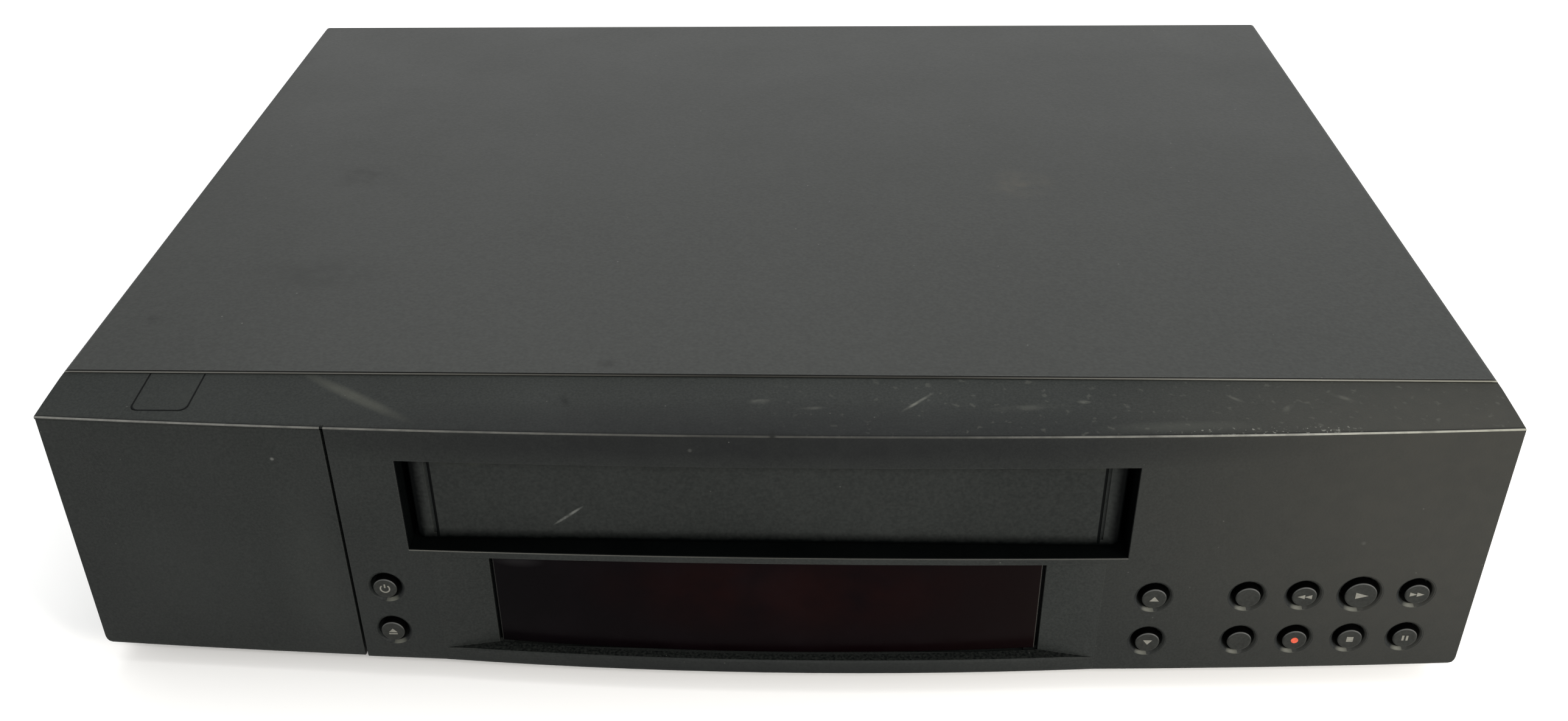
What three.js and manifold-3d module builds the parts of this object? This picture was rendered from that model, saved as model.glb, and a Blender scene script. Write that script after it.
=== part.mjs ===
// Front-loading video cassette recorder, as an assembly of separate pieces.
// Millimetres, +Z up, front towards -Y, X to the right when seen from the front.
// While it is being built, y = 0 is the front edge of the top cover.

import * as THREE from "three";
import { mergeVertices } from "three/addons/utils/BufferGeometryUtils.js";
import Module from "manifold-3d";

const wasm = await Module();
wasm.setup();

// Whole case
const caseW = 430;
const coverDepth = 291.8;
const stripDepth = 21.6;
const stripRise = 1.46;
const faceH = 90.2;
const faceBow = 6.7;
const footH = 8;
const cornerR = 3;

// Stock and fits
const sheet = 1;
const wall = 2.5;
const gap = 0.3;
const overrun = 6;
const smooth = 20;
const medium = 14;
const coarse = 10;
const rough = 8;

// Levels and edges that several pieces share
const halfW = caseW / 2;
const baseZ = footH;
const creaseZ = baseZ + faceH;
const coverUnder = creaseZ + stripRise;
const coverTop = coverUnder + sheet;
const innerHalfW = halfW - sheet - gap;
const rearY = coverDepth;
const backPanelY = rearY - sheet - gap - sheet;
const faceY = (x) => -stripDepth - faceBow * (1 - (x / halfW) ** 2);
const frontY = faceY(0);

// Cassette slot in the face, with a floor and side cheeks, and the room beside it for button columns
const slot = { halfW: 108.3, bottom: 45.4, top: 79, floorBackY: -4, cheekTop: 86, cheekT: 2.5 };
const slotFloor = baseZ + slot.bottom;
const slotTop = baseZ + slot.top;
const sideRoom = halfW - slot.halfW;

// Shapes
function toSolid(geometry) {
  const bare = geometry.clone();
  bare.deleteAttribute("normal");
  bare.deleteAttribute("uv");
  const merged = mergeVertices(bare);
  const all = merged.index.array;
  const kept = [];
  for (let i = 0; i < all.length; i += 3) {
    const [a, b, c] = [all[i], all[i + 1], all[i + 2]];
    if (a !== b && b !== c && c !== a) kept.push(a, b, c);
  }
  const vertProperties = new Float32Array(merged.attributes.position.array);
  const triVerts = new Uint32Array(kept);
  return new wasm.Manifold(new wasm.Mesh({ numProp: 3, vertProperties, triVerts }));
}

function boxed(x0, x1, y0, y1, z0, z1) {
  const geometry = new THREE.BoxGeometry(x1 - x0, y1 - y0, z1 - z0);
  return geometry.translate((x0 + x1) / 2, (y0 + y1) / 2, (z0 + z1) / 2);
}

const block = (...edges) => toSolid(boxed(...edges));

function extruded(points, length, holes = []) {
  const shape = new THREE.Shape(points.map(([u, v]) => new THREE.Vector2(u, v)));
  shape.holes = holes.map((hole) => new THREE.Path(hole.map(([u, v]) => new THREE.Vector2(u, v))));
  return new THREE.ExtrudeGeometry(shape, { depth: length, bevelEnabled: false });
}

// Outlines of [x, y], [x, z] or [y, z] points, drawn out along the third axis
const alongZ = (points, z0, z1, holes) => toSolid(extruded(points, z1 - z0, holes).translate(0, 0, z0));
const alongY = (points, y0, y1, holes) =>
  toSolid(extruded(points, y1 - y0, holes).rotateX(Math.PI / 2).translate(0, y1, 0));
const cyclic = new THREE.Matrix4().makeBasis(
  new THREE.Vector3(0, 1, 0), new THREE.Vector3(0, 0, 1), new THREE.Vector3(1, 0, 0));
const alongX = (points, x0, x1) =>
  toSolid(extruded(points, x1 - x0).applyMatrix4(cyclic).translate(x0, 0, 0));

function circle(u, v, r, sides = smooth) {
  const points = [];
  for (let i = 0; i < sides; i++) {
    const turn = (2 * Math.PI * i) / sides;
    points.push([u + r * Math.cos(turn), v + r * Math.sin(turn)]);
  }
  return points;
}

// Rectangle with a radius for each corner, from the lower left one anticlockwise
function roundRect(u0, u1, v0, v1, radii, steps = 4) {
  const centres = [[u0, v0, 1, 1], [u1, v0, -1, 1], [u1, v1, -1, -1], [u0, v1, 1, -1]];
  const points = [];
  centres.forEach(([u, v, su, sv], corner) => {
    const r = radii[corner];
    const count = r > 0 ? steps : 0;
    for (let i = 0; i <= count; i++) {
      const turn = Math.PI + (corner * Math.PI) / 2 + (count ? (i / count) * (Math.PI / 2) : 0);
      points.push([u + su * r + r * Math.cos(turn), v + sv * r + r * Math.sin(turn)]);
    }
  });
  return points;
}

// Round piece about a line along Y, from [radius, place] points that run from front to back
function lathed(points, sides) {
  return new THREE.LatheGeometry(points.map(([r, y]) => new THREE.Vector2(r, y)), sides);
}

const turnedY = (points, x, z, sides = smooth) => toSolid(lathed(points, sides).translate(x, 0, z));

// The same about a line along Z, its points running upwards
const upright = (points, sides = smooth) => lathed(points, sides).rotateX(Math.PI / 2);
const turned = (points, x, y, sides = smooth) => toSolid(upright(points, sides).translate(x, y, 0));

const rodZ = (x, y, r, z0, z1, sides = smooth) => alongZ(circle(x, y, r, sides), z0, z1);
const rodY = (x, z, r, y0, y1, sides = smooth) => alongY(circle(x, z, r, sides), y0, y1);
const rodX = (y, z, r, x0, x1, sides = smooth) => alongX(circle(y, z, r, sides), x0, x1);

// A [y, z] outline that changes with x, drawn from x0 to x1 in even steps
function swept(x0, x1, steps, outlineAt) {
  const positions = [];
  const index = [];
  let count = 0;
  for (let i = 0; i <= steps; i++) {
    const x = x0 + ((x1 - x0) * i) / steps;
    const outline = outlineAt(x);
    count = outline.length;
    for (const [y, z] of outline) positions.push(x, y, z);
  }
  for (let i = 0; i < steps; i++) {
    for (let j = 0; j < count; j++) {
      const a = i * count + j;
      const b = i * count + ((j + 1) % count);
      index.push(a, b, a + count, b, b + count, a + count);
    }
  }
  const flat = (x) => outlineAt(x).map(([y, z]) => new THREE.Vector2(y, z));
  for (const [a, b, c] of THREE.ShapeUtils.triangulateShape(flat(x0), [])) index.push(c, b, a);
  const last = steps * count;
  for (const corners of THREE.ShapeUtils.triangulateShape(flat(x1), [])) {
    index.push(...corners.map((c) => last + c));
  }
  const geometry = new THREE.BufferGeometry();
  geometry.setAttribute("position", new THREE.Float32BufferAttribute(positions, 3));
  geometry.setIndex(index);
  return toSolid(geometry);
}

const join = (...solids) => solids.reduce((whole, solid) => whole.add(solid));
const cut = (solid, ...cutters) => cutters.reduce((rest, cutter) => rest.subtract(cutter), solid);

function toGeometry(solid) {
  const mesh = solid.getMesh();
  const geometry = new THREE.BufferGeometry();
  geometry.setAttribute("position", new THREE.Float32BufferAttribute(mesh.vertProperties, 3));
  geometry.setIndex(new THREE.Uint32BufferAttribute(mesh.triVerts, 1));
  geometry.computeVertexNormals();
  return geometry;
}

// Finishes
const finish = (color, roughness, metalness) =>
  new THREE.MeshStandardMaterial({ color, roughness, metalness });
const coverPaint = finish(0x5a5c59, 0.55, 0.3);
const frontPlastic = finish(0x4a4c4a, 0.5, 0);
const flapPlastic = finish(0x333534, 0.5, 0);
const blackPlastic = finish(0x141515, 0.55, 0);
const smokedLens = finish(0x140b0c, 0.12, 0);
const zincSheet = finish(0xa9adb0, 0.4, 0.9);
const brightSteel = finish(0xc6c9cc, 0.2, 1);
const castAluminium = finish(0xb4b6b8, 0.4, 0.9);
const boardGreen = finish(0x5d5a2c, 0.6, 0);
const whiteNylon = finish(0xd9d8d0, 0.5, 0);
const rubber = finish(0x1c1c1c, 0.9, 0);
const brass = finish(0xb08d4a, 0.35, 0.9);
const glass = finish(0x2b3433, 0.1, 0);

const part = new THREE.Group();

function place(name, solid, material) {
  const mesh = new THREE.Mesh(toGeometry(solid), material);
  mesh.name = name;
  part.add(mesh);
}

// Top cover: one folded sheet with a rear lip and vent slots in both sides
const cover = {
  bendR: 2, bottomZ: 10, lipH: 10, ventCount: 10, ventPitch: 12, ventW: 3, ventH: 26, ventTopDrop: 18,
  ventStartY: 120, screwY: 232, screwZ: 17, screwInset: 65, holeR: 2,
};
const rearScrewX = halfW - cover.screwInset;
const rearScrewZ = coverTop - cover.lipH / 2;

function makeCover() {
  const outer = roundRect(-halfW, halfW, cover.bottomZ, coverTop, [0, 0, cover.bendR, cover.bendR], 3);
  const innerR = cover.bendR - sheet;
  const inner = roundRect(-halfW + sheet, halfW - sheet, cover.bottomZ - overrun, coverUnder,
    [0, 0, innerR, innerR], 2);
  const shell = cut(alongY(outer, 0, rearY), alongY(inner, -overrun, rearY + overrun));
  const lip = block(-halfW + cover.bendR, halfW - cover.bendR, rearY - sheet, rearY,
    coverTop - cover.lipH, coverTop - sheet / 2);
  const vents = [];
  const ventTop = coverTop - cover.ventTopDrop;
  for (let i = 0; i < cover.ventCount; i++) {
    const y = cover.ventStartY + i * cover.ventPitch;
    const slot = [y - cover.ventW / 2, y + cover.ventW / 2];
    for (const side of [-1, 1]) {
      const edge = [side * (halfW - overrun), side * (halfW + overrun)].sort((a, b) => a - b);
      vents.push(block(edge[0], edge[1], slot[0], slot[1], ventTop - cover.ventH, ventTop));
    }
  }
  const sideHoles = rodX(cover.screwY, cover.screwZ, cover.holeR, -halfW - overrun, halfW + overrun, coarse);
  const rearHoles = [-rearScrewX, rearScrewX].map((x) =>
    rodY(x, rearScrewZ, cover.holeR, rearY - overrun, rearY + overrun, coarse));
  return cut(join(shell, lip), ...vents, sideHoles, ...rearHoles);
}

// Cover screws: one in each side, two in the rear lip
const screw = { headR: 4, headH: 1.6, shankR: 1.7, length: 5.5 };

function screwForm() {
  const { headR, headH, shankR, length } = screw;
  return lathed([[0, -length], [shankR, -length], [shankR, gap], [headR, gap], [headR, gap + headH / 2],
    [headR - headH / 2, gap + headH], [0, gap + headH]], coarse);
}

const sideScrew = (side) =>
  toSolid(screwForm().rotateZ((-side * Math.PI) / 2).translate(side * halfW, cover.screwY, cover.screwZ));
const rearScrew = (side) => toSolid(screwForm().translate(side * rearScrewX, rearY, rearScrewZ));

// Push buttons: places as seen from the front, heights above the lower edge of the face
const button = {
  capR: 3.95, bigCapR: 5, proud: 0.9, flangeT: 1.2, flangeClear: 1, holeR: 4.95, bigHoleR: 6.1,
  mouthOver: 0.9, mouthDeep: 0.9, bossOver: 2.2, bossBackY: -17.5, travel: 1,
};
const columnShares = [0.088, 0.3524, 0.5117, 0.671, 0.8303];
const [nearX, ...columns] = columnShares.map((share) => slot.halfW + share * sideRoom);
const keyPitch = columns[1] - columns[0];
const keyZ = { upper: 30.1, lower: 12.4 };
const flangeShare = 0.25;
const flangeOver = flangeShare * (keyPitch - button.holeR - button.bigHoleR);
const buttons = [
  ["power_button", -nearX, keyZ.upper], ["eject_button", -nearX, keyZ.lower],
  ["channel_up_button", nearX, keyZ.upper], ["channel_down_button", nearX, keyZ.lower],
  ...["source", "rewind", "play", "forward"].map((n, i) => [`${n}_button`, columns[i], keyZ.upper]),
  ...["input", "record", "stop", "pause"].map((n, i) => [`${n}_button`, columns[i], keyZ.lower]),
];
const isBig = (name) => name === "play_button";
const holeR = (name) => (isBig(name) ? button.bigHoleR : button.holeR);
const capR = (name) => (isBig(name) ? button.bigCapR : button.capR);

// Left door: tall panel over the front sockets, turning down on two pins near its foot
const door = {
  gapW: 1.1, thick: 2.4, setBack: 0.4, lipT: 0.8, notchDeep: 1.2, axisY: -15.5, axisZ: 13.5, pinR: 1.2,
  lugW: 4, lugInset: 6, lugR: 2.6, pinReach: 1.2,
};
const doorEdgeX = -(nearX + button.holeR + flangeOver + button.flangeClear + wall + door.gapW);
const recessRight = doorEdgeX + door.gapW;
const recessLeft = -halfW + wall;
const jackWallY = -9;
const faceSteps = 14;

// Edges of the front: an arc from the face round to the underside, and a bevelled crease at the top
const frontEdge = { footR: 1, creaseR: 0.4 };
const arcShare = 1 - Math.SQRT1_2;
const footArc = (y) => {
  const r = frontEdge.footR;
  return [[y, baseZ + r], [y + arcShare * r, baseZ + arcShare * r], [y + r, baseZ]];
};

// The strip above the door ends in a thin lip, and the door's face sits a little behind it
const doorFace = (x) => faceY(x) + door.setBack;
const lipUnder = creaseZ - door.lipT;

function makeDoor() {
  const steps = Math.round((faceSteps * (doorEdgeX + halfW)) / caseW);
  const panel = swept(-halfW, doorEdgeX, steps, (x) => {
    const y = doorFace(x);
    const back = y + door.thick;
    return [...footArc(y), [back, baseZ], [back, creaseZ - wall - gap], [y, lipUnder - gap]];
  });
  const sight = roundRect(-halfW, doorEdgeX, baseZ, creaseZ, [cornerR, 0, 0, 0]);
  const body = panel.intersect(alongY(sight, frontY - overrun, 0));
  const { axisY, axisZ, lugR, lugW, pinR } = door;
  const lugs = [recessLeft + door.lugInset, recessRight - door.lugInset - lugW].map((x) => {
    const front = doorFace(x) + door.thick / 2;
    const arm = block(x, x + lugW, front, axisY, axisZ - lugR, axisZ + lugR);
    return join(arm, rodX(axisY, axisZ, lugR, x, x + lugW, coarse));
  });
  const pin = rodX(axisY, axisZ, pinR, recessLeft + gap, recessRight - gap, coarse);
  return join(body, ...lugs, pin);
}

// Display window and the bay round it: flanks slant in from the face, a ledge runs below
const bay = {
  flankX: 102, windowX: 85, sideY: -23.65, bow: 3.85, bottom: 5.5, top: 43, lensGap: 0.6, lensThick: 2,
  ledgeBulge: 2.3, rimW: 4, rimThick: 3,
};
const bayBottom = baseZ + bay.bottom;
const bayTop = baseZ + bay.top;
const lensY = (x) => bay.sideY - bay.bow * (1 - (x / bay.windowX) ** 2);

function makeWindow() {
  const half = bay.windowX - bay.lensGap;
  const low = bayBottom + gap;
  const high = bayTop - gap;
  return swept(-half, half, coarse, (x) => {
    const y = lensY(x);
    return [[y, low], [y + bay.lensThick, low], [y + bay.lensThick, high], [y, high]];
  });
}

// Cassette flap: hangs from two pins, swings inwards
const flap = {
  faceY: -21.8, thick: 2.5, sideGap: 2.3, axisZ: 88.5, overAxis: 2, edgeR: 0.6, cornerR: 2.5,
  grooveInset: 5.4, grooveW: 1.1, grooveDeep: 0.6, grooveFoot: 2.6, pinR: 1.25, pinReach: 1.5,
};
const flapHalfW = slot.halfW - flap.sideGap;
const flapAxisY = flap.faceY + flap.thick / 2;
const flapBottom = slotFloor + gap + gap / 2;

function makeFlap() {
  const e = flap.edgeR;
  const outline = roundRect(-flapHalfW + e, flapHalfW - e, flapBottom + e, flap.axisZ + flap.overAxis - e,
    [flap.cornerR, flap.cornerR, 0, 0]);
  const shape = new THREE.Shape(outline.map(([u, v]) => new THREE.Vector2(u, v)));
  const depth = flap.thick - 2 * e;
  const edges = { bevelThickness: e, bevelSize: e, bevelSegments: 2 };
  const plate = new THREE.ExtrudeGeometry(shape, { depth, ...edges });
  const body = toSolid(plate.rotateX(Math.PI / 2).translate(0, flap.faceY + flap.thick - e, 0));
  const reach = slot.halfW + flap.pinReach;
  const pins = [-1, 1].map((side) => {
    const ends = [side * (flapHalfW - overrun), side * reach].sort((a, b) => a - b);
    return rodX(flapAxisY, flap.axisZ, flap.pinR, ends[0], ends[1], coarse);
  });
  const grooves = [-1, 1].map((side) => {
    const x = side * (flapHalfW - flap.grooveInset);
    return block(x - flap.grooveW / 2, x + flap.grooveW / 2, flap.faceY - overrun,
      flap.faceY + flap.grooveDeep, flapBottom + flap.grooveFoot, slotTop + overrun);
  });
  return cut(join(body, ...pins), ...grooves);
}

// Push buttons: each a cap with a flange behind the face
function makeButton(name, x, z) {
  const front = faceY(x) - button.proud;
  const flange = button.bossBackY + gap;
  const r = capR(name);
  const wide = holeR(name) + flangeOver;
  const points = [[0, front], [r, front], [r, flange], [wide, flange],
    [wide, flange + button.flangeT], [0, flange + button.flangeT]];
  return turnedY(points, x, z, medium);
}

// Front sockets on the wall behind the door
const jack = {
  shellR: 4.15, boreR: 1.6, boreDeep: 7, reach: 7.5, bodyR: 6.5, bodyDeep: 8, z: 46, holeOver: 0.35,
};
const jackShares = [0.218, 0.489, 0.76];
const jackXs = jackShares.map((share) => recessLeft + share * (recessRight - recessLeft));
const jackWallT = 2;

// Front panel: one moulding with the top strip, both ends, slot walls, bay, ledge and button bosses
const bezel = { tongueY: 10, footBackY: 1.7, footStep: 16, postR: 3, innerPostX: 94 };
const postPlaces = [-bezel.innerPostX, bezel.innerPostX, (columns[2] + columns[3]) / 2];
const postZ = baseZ + (keyZ.upper + keyZ.lower) / 2;
const frontBoard = { y: -9, thick: 1.6, topZ: 50 };
const bosses = buttons.map(([name, x, z]) =>
  rodY(x, baseZ + z, holeR(name) + button.bossOver, faceY(x) + wall / 2, button.bossBackY, coarse));

function makeBezel() {
  const strip = (x) => {
    const y = faceY(x);
    const c = frontEdge.creaseR;
    const foot = [...footArc(y), [bezel.footBackY, baseZ], [bezel.footBackY, baseZ + bezel.footStep]];
    const rear = [[bezel.tongueY, baseZ + bezel.footStep], [bezel.tongueY, coverUnder - gap],
      [-gap, coverUnder - gap], [-gap, coverUnder]];
    const crease = [[y + c, creaseZ], [y + arcShare * c, creaseZ - arcShare * c], [y, creaseZ - c]];
    return [...foot, ...rear, ...crease];
  };
  const sight = roundRect(-halfW, halfW, baseZ, coverTop, [cornerR, cornerR, cover.bendR, cover.bendR]);
  const outer = swept(-halfW, halfW, faceSteps, strip).intersect(
    alongY(sight, frontY - overrun, bezel.tongueY + overrun));
  const hollow = swept(-halfW + wall, halfW - wall, faceSteps, (x) => {
    const y = faceY(x) + wall;
    const back = bezel.tongueY + overrun;
    return [[y, baseZ + wall], [back, baseZ + wall], [back, coverUnder - gap - wall], [y, creaseZ - wall]];
  });
  const shoulders = [-1, 1].map((side) => {
    const edge = [side * innerHalfW, side * (halfW + overrun)].sort((a, b) => a - b);
    return block(edge[0], edge[1], -gap, bezel.tongueY + overrun, 0, coverTop + overrun);
  });
  const shell = cut(outer, hollow, ...shoulders);

  // Ledge below the window, its ends running out to points
  const ledge = swept(-bay.flankX, bay.flankX, faceSteps, (x) => {
    const y = faceY(x) - bay.ledgeBulge * (1 - (x / bay.flankX) ** 2);
    const c = frontEdge.footR / 2;
    const back = faceY(x) + wall;
    return [...footArc(y), [back, baseZ], [back, bayBottom], [y + c, bayBottom], [y, bayBottom - c]];
  });

  // Bay: a slanted flank at each side behind a cut in the face
  const flankBack = wall + bay.lensThick;
  const flanks = [-1, 1].map((side) => {
    const points = [[side * bay.flankX, faceY(bay.flankX)], [side * bay.windowX, bay.sideY],
      [side * bay.windowX, bay.sideY + flankBack], [side * bay.flankX, faceY(bay.flankX) + flankBack]];
    return alongZ(side > 0 ? points.reverse() : points, bayBottom - wall, bayTop);
  });
  const bayCut = alongZ([[-bay.flankX, frontY - overrun], [bay.flankX, frontY - overrun],
    [bay.flankX, faceY(bay.flankX)], [bay.windowX, bay.sideY], [bay.windowX, 0], [-bay.windowX, 0],
    [-bay.windowX, bay.sideY], [-bay.flankX, faceY(bay.flankX)]], bayBottom, bayTop);
  const rimY = bay.sideY + bay.lensThick + gap;
  const rims = [-1, 1].map((side) => {
    const edge = [side * (bay.windowX - bay.rimW), side * (bay.windowX + bay.rimW)].sort((a, b) => a - b);
    return block(edge[0], edge[1], rimY, rimY + bay.rimThick, bayBottom - wall, bayTop + gap);
  });

  // Slot: cut through the face, floor and cheeks behind it
  const slotCut = block(-slot.halfW, slot.halfW, frontY - overrun, faceY(slot.halfW) + wall + gap,
    slotFloor, slotTop);
  const floorUnder = bayTop;
  const slotBody = block(-slot.halfW - slot.cheekT, slot.halfW + slot.cheekT, frontY + wall - gap / 2,
    slot.floorBackY, floorUnder, baseZ + slot.cheekTop);
  const slotHollow = block(-slot.halfW, slot.halfW, frontY - overrun, slot.floorBackY + overrun, slotFloor,
    coverTop).subtract(block(-slot.halfW - overrun, slot.halfW + overrun, frontY - overrun,
    faceY(0) + wall, slotTop, coverTop));
  const slotWalls = cut(slotBody, slotHollow);
  const pinHoles = rodX(flapAxisY, flap.axisZ, flap.pinR + gap, -slot.halfW - slot.cheekT - overrun,
    slot.halfW + slot.cheekT + overrun, coarse);
  const pinHoleMask = block(-slot.halfW - slot.cheekT, slot.halfW + slot.cheekT, flapAxisY - overrun / 2,
    flapAxisY + overrun / 2, flap.axisZ - overrun / 2, flap.axisZ + overrun / 2);

  // Door recess: wall for the sockets, right-hand partition, two ears for the door's pins
  const recessTop = creaseZ - wall;
  const jackWall = block(recessLeft - wall / 2, recessRight + wall, jackWallY, jackWallY + jackWallT,
    baseZ, recessTop + wall / 2);
  const partition = swept(recessRight, recessRight + wall, 1, (x) =>
    [[faceY(x) + wall / 2, baseZ + wall / 2], [jackWallY + jackWallT, baseZ + wall / 2],
      [jackWallY + jackWallT, recessTop + wall / 2], [faceY(x) + wall / 2, recessTop + wall / 2]]);
  const doorCut = swept(-halfW - overrun, recessRight, faceSteps, (x) => {
    const y = doorFace(x) + door.thick + gap;
    const front = frontY - overrun;
    return [[front, 0], [y, 0], [y, recessTop], [doorFace(x), lipUnder], [front, lipUnder]];
  });
  const notchCut = block(doorEdgeX, recessRight, frontY - overrun, faceY(doorEdgeX) + door.notchDeep,
    creaseZ - wall, coverTop);
  const swing = Math.hypot(door.axisY - frontY, door.axisZ - baseZ);
  const footCut = block(-halfW - overrun, recessRight, frontY - overrun, jackWallY, 0, door.axisZ + wall)
    .intersect(rodX(door.axisY, door.axisZ, swing, -halfW - overrun, recessRight + overrun, coarse));
  const ears = [recessLeft - wall / 2, recessRight - wall].map((x) => {
    const r = door.pinR + door.pinReach;
    const earEnd = x + wall + wall / 2;
    const arm = block(x, earEnd, door.axisY, jackWallY + wall / 2, door.axisZ - r, door.axisZ + r);
    return join(arm, rodX(door.axisY, door.axisZ, r, x, earEnd, coarse));
  });
  const doorPinHole = rodX(door.axisY, door.axisZ, door.pinR + gap, recessLeft, recessRight, coarse);
  const jackHoles = jackXs.map((x) =>
    rodY(x, jack.z, jack.shellR + jack.holeOver, jackWallY - gap, jackWallY + jackWallT + gap, medium));

  // Posts for the front board, and the button holes
  const posts = postPlaces.map((x) =>
    rodY(x, postZ, bezel.postR, faceY(x) + wall / 2, frontBoard.y - gap, coarse));
  const holes = buttons.map(([name, x, z]) => {
    const r = holeR(name);
    const y = faceY(x);
    const mouth = r + button.mouthOver;
    return turnedY([[0, y - overrun], [mouth, y - overrun], [mouth, y], [r, y + button.mouthDeep],
      [r, button.bossBackY + gap], [0, button.bossBackY + gap]], x, baseZ + z);
  });

  const solid = join(shell, ledge, slotWalls, jackWall, partition);
  const opened = cut(solid, slotCut, doorCut, notchCut, footCut, bayCut);
  const fitted = join(opened, ...flanks, ...rims, ...bosses, ...posts, ...ears);
  const trimmed = cut(fitted, bayCut.subtract(join(...rims)), ...holes, ...jackHoles,
    pinHoles.intersect(pinHoleMask), doorPinHole);
  return trimmed;
}

// Cassette lift: fixed brackets, a slider that goes in, a basket that goes down in the slider
const bracket = { besideSlider: 3, thick: 1.2, backY: 152, top: 92, footW: 6 };
const slider = {
  besideBasket: 2.5, thick: 1.2, frontY: 18, depth: 82, bottom: 52, top: 92, pinZ: 86, pinR: 2, pinInset: 7,
  barY: 50, barW: 18, travel: 45,
};
const basket = {
  bottom: 53, height: 28.5, wallX: 95.5, shelfX: 68, lipD: 10, roofY: 40, pinZ: 78, pinInset: 17, travel: 20,
};
const bracketPinYs = [slider.frontY + slider.pinInset, slider.frontY + slider.depth - slider.pinInset];
const basketPinYs = [slider.frontY + basket.pinInset, slider.frontY + slider.depth - basket.pinInset];
const sliderX = basket.wallX + slider.besideBasket;
const bracketX = sliderX + bracket.besideSlider;
const bracketFrontY = flapAxisY + flap.axisZ - flapBottom + 2 * gap;
const sides = (side, a, b) => [side * a, side * b].sort((p, q) => p - q);

// Bottom plate: tray with side flanges, shouldered posts for the boards and for the deck
const tray = {
  flangeH: 15, postR: 4, shoulderH: 4.7, spigotR: 2.5, boardSpigotH: 8, slotCount: 9, slotW: 4, slotL: 50,
  slotPitch: 12, slotX: 60, slotY: 120,
};
const trayTop = baseZ + sheet;
const trayFrontY = bezel.footBackY + gap;
const trayBackY = backPanelY - gap;
const boardUnder = trayTop + tray.shoulderH + gap;
const boardT = 1.6;
const boardTop = boardUnder + boardT;
const deck = {
  z: 27, thick: 1.5, besideBracket: 7, frontY: 12, backY: 252, cornerR: 6, postInset: 10, postFrontY: 40,
  postBackY: 240, pivotR: 1.5,
};
const deckHalfW = bracketX + deck.besideBracket;
const deckTop = deck.z + deck.thick;
const seatZ = deckTop + gap;
const mainBoard = {
  sideGap: 5.7, powerGap: 12, frontY: 18, backY: 286, postInset: 13, postFrontY: 40, postBackY: 150,
};
const powerBoard = { deckGap: 16, frontY: 104, backY: 262, inset: 9 };
const mainRight = innerHalfW - mainBoard.sideGap;
const powerRight = -deckHalfW - powerBoard.deckGap;
const mainLeft = powerRight + mainBoard.powerGap;
const powerW = powerRight + mainRight;
const deckPosts = [-1, 1].flatMap((side) =>
  [deck.postFrontY, deck.postBackY].map((y) => [side * (deckHalfW - deck.postInset), y]));
const mainPosts = [mainBoard.postFrontY, mainBoard.postBackY].map((y) =>
  [mainRight - mainBoard.postInset, y]);
const powerPosts = [-mainRight + powerBoard.inset, powerRight - powerBoard.inset].flatMap((x) =>
  [powerBoard.frontY + powerBoard.inset, powerBoard.backY - powerBoard.inset].map((y) => [x, y]));

function makeTray() {
  const plate = block(-innerHalfW, innerHalfW, trayFrontY, trayBackY, baseZ, trayTop);
  const flanges = [-innerHalfW, innerHalfW - sheet].map((x) =>
    block(x, x + sheet, trayFrontY, trayBackY, baseZ, baseZ + tray.flangeH));
  const postFoot = baseZ + sheet / 2;
  const shoulder = boardUnder - gap;
  const post = (top) => ([x, y]) => turned([[0, postFoot], [tray.postR, postFoot], [tray.postR, shoulder],
    [tray.spigotR, shoulder], [tray.spigotR, top], [0, top]], x, y, rough);
  const posts = [...deckPosts.map(post(deck.z - gap)),
    ...[...mainPosts, ...powerPosts].map(post(trayTop + tray.boardSpigotH))];
  const slots = [];
  for (let i = 0; i < tray.slotCount; i++) {
    const y = tray.slotY + i * tray.slotPitch - (tray.slotCount * tray.slotPitch) / 2;
    slots.push(block(tray.slotX, tray.slotX + tray.slotL, y, y + tray.slotW, 0, trayTop + sheet));
  }
  const screwHoles = rodX(cover.screwY, cover.screwZ, cover.holeR, -halfW - overrun, halfW + overrun, coarse);
  return cut(join(plate, ...flanges, ...posts), ...slots, screwHoles);
}

// Feet
const foot = { topR: 17, floorR: 15, inset: 47, frontY: 22, backY: 262, cup: 3, cupR: 8 };
const footX = halfW - foot.inset;
const footPlaces = {
  foot_front_left: [-footX, foot.frontY], foot_front_right: [footX, foot.frontY],
  foot_rear_left: [-footX, foot.backY], foot_rear_right: [footX, foot.backY],
};

function makeFoot(x, y) {
  return turned([[0, foot.cup], [foot.cupR, foot.cup], [foot.cupR, 0], [foot.floorR, 0],
    [foot.topR, baseZ - gap], [0, baseZ - gap]], x, y, medium);
}

// Circuit boards, with the tallest pieces standing on each
const boardHole = (z) => ([x, y]) => rodZ(x, y, tray.spigotR + gap, z - overrun, z + overrun, rough);
// Chips as left edge, width, front and depth; cans as places. Across, they are shares of the half deck or
// of the room beside it; in depth, shares of the board
const underChipShares = [[-0.555, 0.315, 0.157, 0.082], [-0.555, 0.24, 0.381, 0.097]];
const besideChipShares = [[0.37, 0.37, 0.269, 0.127], [0.043, 0.304, 0.53, 0.052]];
const underCanShares = [[-0.833, 0.68], [-0.648, 0.735]];
const besideCanShares = [[0.26, 0.082], [0.456, 0.082], [0.652, 0.157]];
const shieldShare = 0.674;
const mainParts = { chipH: 3, canR: 6, canH: 9, besideGap: 8, shieldY: 176, shieldD: 26, shieldH: 14 };
const besideX = deckHalfW + mainParts.besideGap;
const besideW = mainRight - besideX;
const mainDepth = mainBoard.backY - mainBoard.frontY;

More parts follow.
